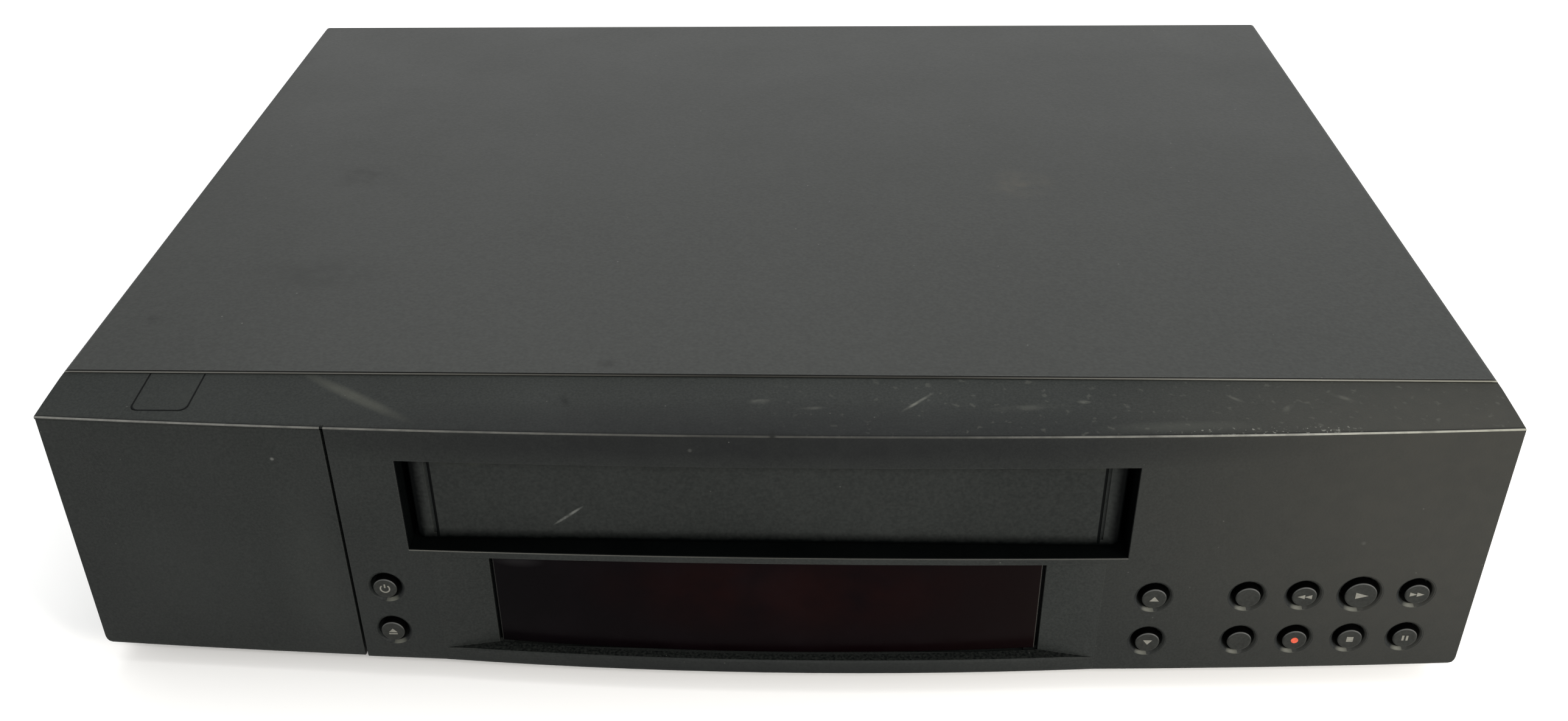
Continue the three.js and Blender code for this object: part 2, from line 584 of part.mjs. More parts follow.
function makeMainBoard() {
  const root = boardUnder + boardT / 2;
  const board = block(mainLeft, mainRight, mainBoard.frontY, mainBoard.backY, boardUnder, boardTop);
  const chip = (start, room) => ([left, width, front, depth]) => {
    const x = start + left * room;
    const y = mainBoard.frontY + front * mainDepth;
    return block(x, x + width * room, y, y + depth * mainDepth, root, boardTop + mainParts.chipH);
  };
  const chips = [...underChipShares.map(chip(0, deckHalfW)), ...besideChipShares.map(chip(besideX, besideW))];
  const can = (start, room) => ([across, along]) =>
    [start + across * room, mainBoard.frontY + along * mainDepth];
  const places = [...underCanShares.map(can(0, deckHalfW)), ...besideCanShares.map(can(besideX, besideW))];
  const cans = places.map(([x, y]) => rodZ(x, y, mainParts.canR, root, boardTop + mainParts.canH, rough));
  const shield = block(besideX, besideX + shieldShare * besideW, mainParts.shieldY,
    mainParts.shieldY + mainParts.shieldD, root, boardTop + mainParts.shieldH);
  const spigotHoles = [...deckPosts, ...mainPosts].map(boardHole(boardUnder));
  return cut(join(board, ...chips, ...cans, shield), ...spigotHoles);
}

// Places across the power board are shares of its width, from its left edge
const coreShares = [0.214, 0.762];
const coilShares = [0.324, 0.652];
const sinkShares = [0.81, 0.845, 0.916];
const canPlaceShare = 0.38;
const canRadiusShare = 0.143;
const powerParts = {
  coreY: 150, coreD: 40, coreH: 38, sinkY: 130, sinkT: 3, sinkL: 70, sinkH: 42, finCount: 5, finPitch: 14,
  canY: 222, canH: 34, coilOver: 10, coilInset: 6,
};
const acrossPower = (share) => -mainRight + share * powerW;

function makePowerBoard() {
  const p = powerParts;
  const root = boardUnder + boardT / 2;
  const board = block(-mainRight, powerRight, powerBoard.frontY, powerBoard.backY, boardUnder, boardTop);
  const [sinkX, sinkBack, finTip] = sinkShares.map(acrossPower);
  const sink = block(sinkX, sinkBack, p.sinkY, p.sinkY + p.sinkL, root, boardTop + p.sinkH);
  const fins = [];
  for (let i = 0; i < p.finCount; i++) {
    const y = p.sinkY + i * p.finPitch;
    fins.push(block(sinkX, finTip, y, y + p.sinkT, root, boardTop + p.sinkH));
  }
  const canTop = boardTop + p.canH;
  const can = rodZ(acrossPower(canPlaceShare), p.canY, canRadiusShare * powerW, root, canTop, coarse);
  return cut(join(board, sink, ...fins, can), ...powerPosts.map(boardHole(boardUnder)));
}

function makeTransformer() {
  const p = powerParts;
  const z = boardTop + gap;
  const core = block(...coreShares.map(acrossPower), p.coreY + p.coilOver, p.coreY + p.coreD - p.coilOver, z,
    z + p.coreH);
  const coil = block(...coilShares.map(acrossPower), p.coreY, p.coreY + p.coreD, z + p.coilInset,
    z + p.coreH - p.coilInset);
  return join(core, coil);
}

const switchBody = { half: 3, play: 0.2 };

function makeFrontBoard() {
  const left = recessRight + wall + gap;
  const right = halfW - wall - 2 * gap;
  const board = block(left, right, frontBoard.y, frontBoard.y + frontBoard.thick, baseZ + wall + gap,
    frontBoard.topZ);
  const flangeBack = button.bossBackY + gap + button.flangeT;
  const switches = buttons.map(([, x, z]) => {
    const s = switchBody.half;
    const front = flangeBack + button.travel + switchBody.play;
    return block(x - s, x + s, front, frontBoard.y + frontBoard.thick / 2, baseZ + z - s, baseZ + z + s);
  });
  return join(board, ...switches);
}

const tube = { halfW: 46, bottom: 21, top: 43, frontY: -19, edge: 1.5 };

function makeDisplayTube() {
  const back = frontBoard.y - gap;
  const glassBody = block(-tube.halfW, tube.halfW, tube.frontY, back - tube.edge, tube.bottom, tube.top);
  const basePlate = block(-tube.halfW - tube.edge, tube.halfW + tube.edge, back - 2 * tube.edge, back,
    tube.bottom - tube.edge, tube.top + tube.edge);
  return join(glassBody, basePlate);
}

// Sockets behind the door, on one strip
function makeFrontJacks() {
  const back = jackWallY + jackWallT + gap;
  const tip = jackWallY - jack.reach;
  const body = block(Math.min(...jackXs) - jack.bodyR, Math.max(...jackXs) + jack.bodyR, back,
    back + jack.bodyDeep, jack.z - jack.bodyR, jack.z + jack.bodyR);
  const shells = jackXs.map((x) => rodY(x, jack.z, jack.shellR, tip, back + jack.bodyDeep / 2, medium));
  const bores = jackXs.map((x) => rodY(x, jack.z, jack.boreR, tip - gap, tip + jack.boreDeep, rough));
  return cut(join(body, ...shells), ...bores);
}

// Rear panel with its sockets
const rearJack = {
  besideTuner: 72, pitch: 20, columnCount: 3, lowZ: 27, highZ: 44, bodyH: 38, bodyDeep: 20, edge: 10,
  reach: 6,
};
const tunerShares = [0.13, 0.848];
const tunerTubeShares = [0.325, 0.652];
const tuner = { depth: 68, height: 32, tubeR: 4.7, tubeZ: 34, boreR: 1.5 };
const besideDeck = (share) => besideX + share * besideW;
const [tunerX, tunerEnd] = tunerShares.map(besideDeck);
const tunerTubeXs = tunerTubeShares.map(besideDeck);
const rearJackX = tunerX - rearJack.besideTuner;
const inlet = {
  inset: 47, z: 32, halfW: 11.5, halfH: 7.5, lip: 3, lipT: 2, body: 22, deep: 9, bayHalfW: 9, bayHalfH: 5,
  bayR: 4.5, pinR: 1.2, pinX: 4.3,
};
const inletX = inlet.inset - halfW;
const terminalReach = 7.5;
const rearTubes = [];
for (let i = 0; i < rearJack.columnCount; i++) {
  for (const z of [rearJack.lowZ, rearJack.highZ]) rearTubes.push([rearJackX + i * rearJack.pitch, z]);
}

function makeRearPanel() {
  const panel = block(-innerHalfW, innerHalfW, backPanelY, backPanelY + sheet, baseZ, coverUnder - gap);
  const through = (x, z, r) => rodY(x, z, r, backPanelY - overrun, backPanelY + overrun, medium);
  const tubes = rearTubes.map(([x, z]) => through(x, z, jack.shellR + jack.holeOver));
  const aerials = tunerTubeXs.map((x) => through(x, tuner.tubeZ, tuner.tubeR + gap));
  const screws = [-rearScrewX, rearScrewX].map((x) => through(x, rearScrewZ, cover.holeR));
  const window = block(inletX - inlet.halfW - gap, inletX + inlet.halfW + gap, backPanelY - overrun,
    backPanelY + overrun, inlet.z - inlet.halfH - gap, inlet.z + inlet.halfH + gap);
  return cut(panel, ...tubes, ...aerials, ...screws, window);
}

function makeRearJacks() {
  const back = backPanelY - gap;
  const span = (rearJack.columnCount - 1) * rearJack.pitch;
  const body = block(rearJackX - rearJack.edge, rearJackX + span + rearJack.edge,
    back - rearJack.bodyDeep, back, boardTop + gap, boardTop + gap + rearJack.bodyH);
  const tip = rearY + rearJack.reach;
  const shells = rearTubes.map(([x, z]) => rodY(x, z, jack.shellR, back - overrun / 2, tip, medium));
  const bores = rearTubes.map(([x, z]) => rodY(x, z, jack.boreR, tip - jack.boreDeep, tip + gap, rough));
  return cut(join(body, ...shells), ...bores);
}

function makeTuner() {
  const back = backPanelY - gap;
  const z = boardTop + gap;
  const can = block(tunerX, tunerEnd, back - tuner.depth, back, z, z + tuner.height);
  const tip = rearY + terminalReach;
  const tubes = tunerTubeXs.map((x) => rodY(x, tuner.tubeZ, tuner.tubeR, back - overrun / 2, tip, medium));
  const bores = tunerTubeXs.map((x) => rodY(x, tuner.tubeZ, tuner.boreR, tip - overrun, tip + gap, rough));
  return cut(join(can, ...tubes), ...bores);
}

function makeInlet() {
  const { z, halfW: w, halfH: h } = inlet;
  const x = inletX;
  const face = rearY + inlet.lipT;
  const body = block(x - w, x + w, face - inlet.body, face, z - h, z + h);
  const lip = block(x - w - inlet.lip, x + w + inlet.lip, backPanelY + sheet + gap, face, z - h - inlet.lip,
    z + h + inlet.lip);
  const r = inlet.bayR;
  const bayOutline = roundRect(x - inlet.bayHalfW, x + inlet.bayHalfW, z - inlet.bayHalfH, z + inlet.bayHalfH,
    [r, r, r, r], 3);
  const hollow = alongY(bayOutline, face - inlet.deep, face + overrun);
  const pins = [-inlet.pinX, inlet.pinX].map((px) =>
    rodY(x + px, z, inlet.pinR, face - inlet.deep - overrun / 2, face - inlet.lipT, rough));
  return join(cut(join(body, lip), hollow), ...pins);
}

// Tape deck: places of the turning pieces on it
const drum = {
  x: 0, y: 205, r: 31, lean: 5, baseR: 24, baseH: 12, lowFrom: 6, lowTo: 22, upTo: 38, rimStep: 2,
  hubR: 12, hubH: 3, shaftR: 3, shaftIn: 8, sides: 28,
};
const capstan = {
  x: 64, y: 170, shaftR: 2, top: 62, discR: 24, discZ: 21.6, discTop: 25.4, pulleyR: 8, foot: 16.8,
  collarR: 5, collarH: 7,
};
const reel = {
  x: 46, y: 88, flangeR: 20, flangeH: 3.4, hubR: 8.7, hubTop: 43, tipR: 6, tipTop: 46, finR: 10.4,
  finW: 1.6, finCount: 3, boreTop: 38,
};
const centre = { x: 0, y: 62, pulleyR: 13, pulleyTop: 21.5, shaftTop: 32.3 };
const idler = { arm: 26, armR: 4, armT: 1.2, gearR: 12, rootR: 10.5, teeth: 18, top: 32.2 };
const belt = { thick: 1.2, rise: 0.8, width: 3 };
const carriage = {
  startX: 34, startY: 143, endX: 40, endY: 190, baseR: 7, baseH: 3, keyHalf: 2.7, keyDrop: 0.8,
  postR: 2.4, postTop: 52, rimR: 4, rimH: 1.5,
};
const cam = { x: -78, y: 205, r: 20, rootR: 17.5, teeth: 28, z: 38, top: 42, hubR: 6 };
const motor = { r: 11, length: 30, nearX: -58, wormR: 3, wormLength: 32, shaftR: 1.2, flatHalf: 7 };
const pinch = {
  x: 90, y: 166, rollerR: 6, away: 60, rest: 25, armR: 4, armZ: 36, armT: 2, hubTop: 44, pinR: 1.5,
  pinTop: 57, rollerTop: 56,
};
const tension = {
  x: -90, y: 168, arm: 23.4, aim: -40, armR: 4, armZ: 31, armT: 2, hubTop: 36, pinR: 2, pinTop: 52,
};
const eraseHead = { x: -62, y: 178, halfW: 6, halfD: 4.5, top: 50, sole: 2 };
const soundHead = { x: 56, y: 189, halfW: 4.5, halfD: 6, top: 51, sole: 2 };
const guides = { places: [[-56, 160], [50, 158]], r: 2, top: 52 };

const radians = Math.PI / 180;
const polar = (x, y, reach, angle) =>
  [x + reach * Math.cos(angle * radians), y + reach * Math.sin(angle * radians)];

// Two circles of one or two sizes and the straight runs that join them
function strap(x0, y0, r0, x1, y1, r1, steps = 8) {
  const span = Math.hypot(x1 - x0, y1 - y0);
  const heading = Math.atan2(y1 - y0, x1 - x0);
  const open = Math.acos((r0 - r1) / span);
  const points = [];
  for (let i = 0; i <= steps; i++) {
    const turn = heading - open + (2 * open * i) / steps;
    points.push([x1 + r1 * Math.cos(turn), y1 + r1 * Math.sin(turn)]);
  }
  for (let i = 0; i <= steps; i++) {
    const turn = heading + open + ((2 * Math.PI - 2 * open) * i) / steps;
    points.push([x0 + r0 * Math.cos(turn), y0 + r0 * Math.sin(turn)]);
  }
  return points;
}

function gearOutline(x, y, r, rootR, teeth) {
  const points = [];
  const radii = [rootR, r, r, rootR];
  const shares = [0, 0.2, 0.5, 0.7];
  for (let i = 0; i < teeth; i++) {
    radii.forEach((radius, k) => {
      const turn = (2 * Math.PI * (i + shares[k])) / teeth;
      points.push([x + radius * Math.cos(turn), y + radius * Math.sin(turn)]);
    });
  }
  return points;
}

// Deck plate: slots for the carriages, a collar for the capstan and a pivot for each turning piece
const pivots = [[-reel.x, reel.y, reel.boreTop - gap], [reel.x, reel.y, reel.boreTop - gap],
  [cam.x, cam.y, cam.top], [pinch.x, pinch.y, pinch.hubTop], [tension.x, tension.y, tension.hubTop]];

function makeDeck() {
  const r = deck.cornerR;
  const sheetOutline = roundRect(-deckHalfW, deckHalfW, deck.frontY, deck.backY, [r, r, r, r]);
  const plate = alongZ(sheetOutline, deck.z, deckTop);
  const posts = pivots.map(([x, y, top]) => rodZ(x, y, deck.pivotR, deck.z + gap, top, rough));
  const guidePosts = guides.places.map(([x, y]) => rodZ(x, y, guides.r, deck.z + gap, guides.top, rough));
  const collar = rodZ(capstan.x, capstan.y, capstan.collarR, deck.z + gap, deckTop + capstan.collarH, medium);
  const trackHalf = carriage.keyHalf + gap;
  const tracks = [-1, 1].map((side) => alongZ(strap(side * carriage.startX, carriage.startY, trackHalf,
    side * carriage.endX, carriage.endY, trackHalf), deck.z - overrun, deck.z + overrun / 2));
  const shaftHoles = [[capstan.x, capstan.y], [centre.x, centre.y]].map(([x, y]) =>
    rodZ(x, y, capstan.shaftR + gap, 0, capstan.top, coarse));
  return cut(join(plate, ...posts, ...guidePosts, collar), ...tracks, ...shaftHoles);
}

function makeBracket(side) {
  const [w0, w1] = sides(side, bracketX, bracketX + bracket.thick);
  const [f0, f1] = sides(side, bracketX, bracketX + bracket.footW);
  const upright = block(w0, w1, bracketFrontY, bracket.backY, seatZ, bracket.top);
  const sole = block(f0, f1, bracketFrontY, bracket.backY, seatZ, seatZ + bracket.thick);
  const r = slider.pinR + gap;
  const [c0, c1] = sides(side, bracketX - overrun / 2, bracketX + overrun / 2);
  const track = block(c0, c1, bracketPinYs[0] - r, bracketPinYs[1] + slider.travel + r, slider.pinZ - r,
    slider.pinZ + r);
  return cut(join(upright, sole), track);
}

function makeSlider() {
  const back = slider.frontY + slider.depth;
  const pieces = [block(-sliderX, sliderX, slider.barY, slider.barY + slider.barW, slider.top - slider.thick,
    slider.top)];
  const slots = [];
  for (const side of [-1, 1]) {
    const [w0, w1] = sides(side, sliderX, sliderX + slider.thick);
    pieces.push(block(w0, w1, slider.frontY, back, slider.bottom, slider.top));
    const [p0, p1] = sides(side, sliderX + slider.thick / 2, bracketX + bracket.thick + gap);
    for (const y of bracketPinYs) pieces.push(rodX(y, slider.pinZ, slider.pinR, p0, p1, coarse));
    const [c0, c1] = sides(side, sliderX - gap, sliderX + slider.thick + gap);
    const r = slider.pinR + gap;
    for (const y of basketPinYs) {
      slots.push(block(c0, c1, y - r, y + r, basket.pinZ - basket.travel - r, basket.pinZ + r));
    }
  }
  return cut(join(...pieces), ...slots);
}

function makeBasket() {
  const back = slider.frontY + slider.depth;
  const { bottom, wallX, shelfX, height } = basket;
  const edge = wallX + sheet;
  const pieces = [block(-edge, edge, slider.frontY, slider.frontY + basket.lipD, bottom, bottom + sheet),
    block(-edge, edge, basket.roofY, back, bottom + height - sheet, bottom + height)];
  for (const side of [-1, 1]) {
    const [w0, w1] = sides(side, wallX, edge);
    const [s0, s1] = sides(side, shelfX, edge);
    pieces.push(block(w0, w1, slider.frontY, back, bottom, bottom + height));
    pieces.push(block(s0, s1, slider.frontY, back, bottom, bottom + sheet));
    const [p0, p1] = sides(side, wallX + sheet / 2, sliderX + slider.thick + gap);
    for (const y of basketPinYs) pieces.push(rodX(y, basket.pinZ, slider.pinR, p0, p1, coarse));
  }
  return join(...pieces);
}

// Head drum: leans a little, stands on an upright base
function leaning(points, sides) {
  const form = upright(points, sides).translate(0, 0, -seatZ).rotateY(drum.lean * radians);
  return toSolid(form.translate(drum.x, drum.y, seatZ));
}

function makeLowerDrum() {
  const low = seatZ + drum.lowFrom;
  const high = seatZ + drum.lowTo;
  const body = leaning([[0, low], [drum.r, low], [drum.r, high], [0, high]], drum.sides);
  const bore = drum.shaftR + gap;
  const boreFoot = high - drum.shaftIn - gap;
  const base = rodZ(drum.x, drum.y, drum.baseR, seatZ, seatZ + drum.baseH);
  const boreTop = high + overrun;
  const shaftBore = leaning([[0, boreFoot], [bore, boreFoot], [bore, boreTop], [0, boreTop]], coarse);
  return cut(join(body, base), shaftBore);
}

function makeUpperDrum() {
  const low = seatZ + drum.lowTo + gap;
  const high = seatZ + drum.upTo;
  const foot = low - gap - drum.shaftIn;
  const hubTop = high + drum.hubH;
  return leaning([[0, foot], [drum.shaftR, foot], [drum.shaftR, low], [drum.r, low],
    [drum.r, high - drum.rimStep], [drum.r - drum.rimStep, high], [drum.hubR, high], [drum.hubR, hubTop],
    [0, hubTop]], drum.sides);
}

function makeCapstan() {
  const c = capstan;
  return turned([[0, c.foot], [c.pulleyR, c.foot], [c.pulleyR, c.discZ], [c.discR, c.discZ],
    [c.discR, c.discTop], [c.shaftR, c.discTop], [c.shaftR, c.top], [0, c.top]], c.x, c.y);
}

function makeReel(x) {
  const r = reel;
  const bore = deck.pivotR + gap;
  const body = turned([[0, r.boreTop], [bore, r.boreTop], [bore, seatZ], [r.flangeR, seatZ],
    [r.flangeR, seatZ + r.flangeH], [r.hubR, seatZ + r.flangeH], [r.hubR, r.hubTop], [r.tipR, r.tipTop],
    [0, r.tipTop]], x, r.y);
  const fins = [];
  for (let i = 0; i < r.finCount; i++) {
    const fin = boxed(r.hubR - r.finW, r.finR, -r.finW / 2, r.finW / 2, seatZ + r.flangeH + gap, r.hubTop);
    fins.push(toSolid(fin.rotateZ((2 * Math.PI * i) / r.finCount).translate(x, r.y, 0)));
  }
  return join(body, ...fins);
}

function makeCentrePulley() {
  const c = centre;
  return turned([[0, capstan.foot], [c.pulleyR, capstan.foot], [c.pulleyR, c.pulleyTop],
    [capstan.shaftR, c.pulleyTop], [capstan.shaftR, c.shaftTop], [0, c.shaftTop]], c.x, c.y);
}

function makeBelt() {
  const run = (grow) =>
    strap(centre.x, centre.y, centre.pulleyR + grow, capstan.x, capstan.y, capstan.pulleyR + grow);
  const low = capstan.foot + belt.rise;
  return alongZ(run(gap + belt.thick), low, low + belt.width, [run(gap)]);
}

const armTop = seatZ + idler.armT;

function makeIdlerArm() {
  const end = centre.y + idler.arm;
  const arm = alongZ(strap(centre.x, centre.y, idler.armR, centre.x, end, idler.armR), seatZ, armTop);
  const pin = rodZ(centre.x, end, deck.pivotR, seatZ, idler.top, coarse);
  return cut(join(arm, pin), rodZ(centre.x, centre.y, capstan.shaftR + gap, 0, capstan.top, coarse));
}

function makeIdlerGear() {
  const y = centre.y + idler.arm;
  return alongZ(gearOutline(centre.x, y, idler.gearR, idler.rootR, idler.teeth), armTop + gap, idler.top,
    [circle(centre.x, y, deck.pivotR + gap, coarse)]);
}

function makeCarriage(side) {
  const c = carriage;
  const x = side * c.startX;
  const keyFoot = deck.z - c.keyDrop;
  const rimTop = seatZ + c.baseH + c.rimH;
  return turned([[0, keyFoot], [c.keyHalf, keyFoot], [c.keyHalf, seatZ], [c.baseR, seatZ],
    [c.baseR, seatZ + c.baseH], [c.rimR, rimTop], [c.postR, rimTop],
    [c.postR, c.postTop - c.rimH], [c.rimR, c.postTop - c.rimH], [c.rimR, c.postTop], [0, c.postTop]],
  x, c.startY, medium);
}

function makeCamGear() {
  const bore = circle(cam.x, cam.y, deck.pivotR + gap, coarse);
  const disc = alongZ(gearOutline(cam.x, cam.y, cam.r, cam.rootR, cam.teeth), cam.z, cam.top, [bore]);
  return join(disc, alongZ(circle(cam.x, cam.y, cam.hubR, medium), seatZ, cam.z + gap, [bore]));
}

const wormY = cam.y + cam.r + motor.wormR + gap;
const wormZ = (cam.z + cam.top) / 2;

function makeMotor() {
  const can = rodX(wormY, wormZ, motor.r, motor.nearX, motor.nearX + motor.length);
  const cradle = block(motor.nearX, motor.nearX + motor.length, wormY - motor.flatHalf,
    wormY + motor.flatHalf, seatZ, wormZ);
  const bore = rodX(wormY, wormZ, motor.shaftR + gap, motor.nearX - overrun, motor.nearX + overrun, coarse);
  return cut(join(can, cradle), bore);
}

function makeWorm() {
  const near = motor.nearX - gap;
  const shaft = rodX(wormY, wormZ, motor.shaftR, near - gap, motor.nearX + overrun - gap, coarse);
  return join(rodX(wormY, wormZ, motor.wormR, near - motor.wormLength, near, medium), shaft);
}

// Pinch roller at rest, swung clear of the capstan
const pressed = polar(capstan.x, capstan.y, capstan.shaftR + pinch.rollerR + gap, -pinch.away);
const pinchReach = Math.hypot(pressed[0] - pinch.x, pressed[1] - pinch.y);
const pressedAngle = Math.atan2(pressed[1] - pinch.y, pressed[0] - pinch.x) / radians;
const rollerAt = polar(pinch.x, pinch.y, pinchReach, pressedAngle + pinch.rest);

function makeArm(a, x, y, endX, endY) {
  const arm = alongZ(strap(x, y, a.armR, endX, endY, a.armR), a.armZ, a.armZ + a.armT);
  const hub = rodZ(x, y, a.armR, seatZ, a.hubTop, medium);
  const pin = rodZ(endX, endY, a.pinR, a.armZ, a.pinTop, coarse);
  return cut(join(arm, hub, pin), rodZ(x, y, deck.pivotR + gap, 0, coverTop, coarse));
}

function makeRoller() {
  const low = pinch.armZ + pinch.armT + gap;
  const bore = circle(...rollerAt, pinch.pinR + gap, coarse);
  return alongZ(circle(...rollerAt, pinch.rollerR), low, pinch.rollerTop, [bore]);
}

const tensionEnd = polar(tension.x, tension.y, tension.arm, tension.aim);

function makeHead(h) {
  const body = block(h.x - h.halfW, h.x + h.halfW, h.y - h.halfD, h.y + h.halfD, seatZ, h.top);
  const w = h.halfW + h.sole;
  const d = h.halfD + h.sole;
  return join(body, block(h.x - w, h.x + w, h.y - d, h.y + d, seatZ, seatZ + sheet));
}

place("top_cover", makeCover(), coverPaint);
place("cover_screw_left", sideScrew(-1), brightSteel);
place("cover_screw_right", sideScrew(1), brightSteel);
place("cover_screw_rear_left", rearScrew(-1), brightSteel);
place("cover_screw_rear_right", rearScrew(1), brightSteel);
place("front_bezel", makeBezel(), frontPlastic);
place("input_door", makeDoor(), frontPlastic);
place("cassette_flap", makeFlap(), flapPlastic);
place("display_window", makeWindow(), smokedLens);
for (const [name, x, z] of buttons) place(name, makeButton(name, x, baseZ + z), frontPlastic);
place("front_jacks", makeFrontJacks(), blackPlastic);
place("front_board", makeFrontBoard(), boardGreen);
place("display_tube", makeDisplayTube(), glass);
place("bottom_plate", makeTray(), zincSheet);
for (const [name, [x, y]] of Object.entries(footPlaces)) place(name, makeFoot(x, y), rubber);
place("rear_panel", makeRearPanel(), zincSheet);
place("rear_jacks", makeRearJacks(), blackPlastic);
place("tuner_can", makeTuner(), zincSheet);
place("mains_inlet", makeInlet(), blackPlastic);
place("main_board", makeMainBoard(), boardGreen);
place("power_board", makePowerBoard(), boardGreen);
place("transformer", makeTransformer(), brass);
place("deck_plate", makeDeck(), zincSheet);
place("basket_bracket_left", makeBracket(-1), zincSheet);
place("basket_bracket_right", makeBracket(1), zincSheet);
place("basket_slider", makeSlider(), brightSteel);
place("cassette_basket", makeBasket(), zincSheet);
place("lower_drum", makeLowerDrum(), castAluminium);
place("upper_drum", makeUpperDrum(), castAluminium);
place("capstan_flywheel", makeCapstan(), brightSteel);
place("supply_reel_table", makeReel(-reel.x), whiteNylon);
place("take_up_reel_table", makeReel(reel.x), whiteNylon);
place("centre_pulley", makeCentrePulley(), whiteNylon);
place("drive_belt", makeBelt(), rubber);
place("idler_arm", makeIdlerArm(), brightSteel);
place("idler_gear", makeIdlerGear(), whiteNylon);
place("left_guide_carriage", makeCarriage(-1), brass);
place("right_guide_carriage", makeCarriage(1), brass);
place("cam_gear", makeCamGear(), whiteNylon);
place("loading_motor", makeMotor(), brightSteel);
place("motor_worm", makeWorm(), whiteNylon);
place("pinch_arm", makeArm(pinch, pinch.x, pinch.y, ...rollerAt), brightSteel);
place("pinch_roller", makeRoller(), rubber);
place("tension_arm", makeArm(tension, tension.x, tension.y, ...tensionEnd), brightSteel);
place("erase_head", makeHead(eraseHead), castAluminium);
place("audio_control_head", makeHead(soundHead), castAluminium);

// Origin under the middle of the whole outline, at the surface that it stands on
const foremost = frontY - bay.ledgeBulge;
const rearmost = rearY + terminalReach;
part.position.set(0, -(foremost + rearmost) / 2, 0);

export default part;
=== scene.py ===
"""Looks of a front-loading video cassette recorder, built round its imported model."""

import math

import bpy
from mathutils import Matrix, Vector
from mathutils.geometry import tessellate_polygon


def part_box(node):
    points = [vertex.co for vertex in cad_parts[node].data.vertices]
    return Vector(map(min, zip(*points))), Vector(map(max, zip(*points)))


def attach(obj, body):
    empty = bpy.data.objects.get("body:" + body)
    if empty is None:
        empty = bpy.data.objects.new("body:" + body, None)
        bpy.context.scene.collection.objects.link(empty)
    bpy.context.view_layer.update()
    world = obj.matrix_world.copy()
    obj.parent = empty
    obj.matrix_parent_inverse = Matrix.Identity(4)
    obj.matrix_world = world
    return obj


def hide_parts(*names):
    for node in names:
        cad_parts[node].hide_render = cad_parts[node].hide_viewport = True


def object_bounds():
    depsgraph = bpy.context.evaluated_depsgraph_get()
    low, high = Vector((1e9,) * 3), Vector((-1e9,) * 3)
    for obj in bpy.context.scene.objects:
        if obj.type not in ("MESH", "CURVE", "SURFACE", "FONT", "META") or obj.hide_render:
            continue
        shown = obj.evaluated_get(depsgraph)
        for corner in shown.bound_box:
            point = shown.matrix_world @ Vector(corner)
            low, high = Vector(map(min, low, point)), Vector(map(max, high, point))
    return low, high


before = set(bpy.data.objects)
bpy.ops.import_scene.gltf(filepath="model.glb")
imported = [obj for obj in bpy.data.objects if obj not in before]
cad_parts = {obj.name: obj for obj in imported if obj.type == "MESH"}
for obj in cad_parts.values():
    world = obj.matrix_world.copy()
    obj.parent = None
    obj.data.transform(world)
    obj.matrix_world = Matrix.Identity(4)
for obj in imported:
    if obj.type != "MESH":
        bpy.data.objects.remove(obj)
cad_low, cad_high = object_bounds()

MM = 0.001

# Sizes in millimetres, as the model has them: the case, its bowed face and the strip on top of the face
HALF_W = 215
FACE_BOW = 6.7
LEDGE_BULGE = 2.3
FACE_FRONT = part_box("front_bezel")[0].y / MM + LEDGE_BULGE
STRIP_DEEP, STRIP_RISE = 28.3, 1.46
STRIP_BACK = FACE_FRONT + STRIP_DEEP
CREASE_Z = 98.2
COVER_TOP = cad_high.z / MM

# The cassette slot, and the grooves of its flap
SLOT_HALF_W = 108.3
SLOT_FLOOR, SLOT_TOP = 53.4, 87
SLOT_BACK = STRIP_BACK - 4
GROOVE_X = 100.6

# The window, the bay that it sits in, and where the face goes on beside the bay
WINDOW_HALF_W = 85
LENS_HALF_W = 83.9
LENS_BOW = 3.85
LENS_SIDE = FACE_FRONT + 4.65
BAY_LOW, BAY_HIGH = 13.5, 51
FLANK_X = 102

# Button caps and the holes they stand in
CAP_R, PLAY_CAP_R = 3.7, 4.8
HOLE_R, PLAY_HOLE_R = 4.95, 6.1
MOUTH = 0.9

# Sockets, and what stands on the circuit boards
SOCKET_R, BORE_R = 4.15, 1.6
REAR_SOCKET_X, REAR_SOCKET_PITCH, REAR_SOCKET_Z = 55.96, 20, (27, 44)
FRONT_SOCKET_X = (-194, -171, -148)
BOARDS_FRONT = -118
BOARD_TOP, LOW_CAN_TOP, HIGH_CAN_TOP = 15.6, 24.6, 49.6
HIGH_CAN_SIDE = -150
SHIELD_X, SHIELD_Y = (115, 179), (41, 68.5)

# Cover screws: head, shank, and the arms of the cross
SCREW_HEAD, SHANK_R = 1.6, 1.7
CROSS_ARM, CROSS_HALF_W, CROSS_DEEP = 2.1, 0.5, 1.0


def lens_y(x):
    """How far forwards the window's bowed pane lies, at a place across it."""
    return LENS_SIDE - LENS_BOW * (1 - (x / WINDOW_HALF_W) ** 2)


def face_y(x):
    """How far forwards the bowed face lies, at a place across it."""
    return FACE_FRONT + FACE_BOW * (x / HALF_W) ** 2


def strip_z(x, y):
    """How high the sloping strip on top of the face is."""
    return CREASE_Z + STRIP_RISE * (y - face_y(x)) / (STRIP_BACK - face_y(x))


# Camera, at the place and angle that the straight edges of the photograph give
CAMERA_PLACE = (13.7, -511.45, 350.36)
CAMERA_PITCH, CAMERA_YAW, CAMERA_ROLL = 31.93, -3.045, -1.283
CAMERA_LENS = 34.71
CAMERA_SHIFT = (0.0259, -0.0172)


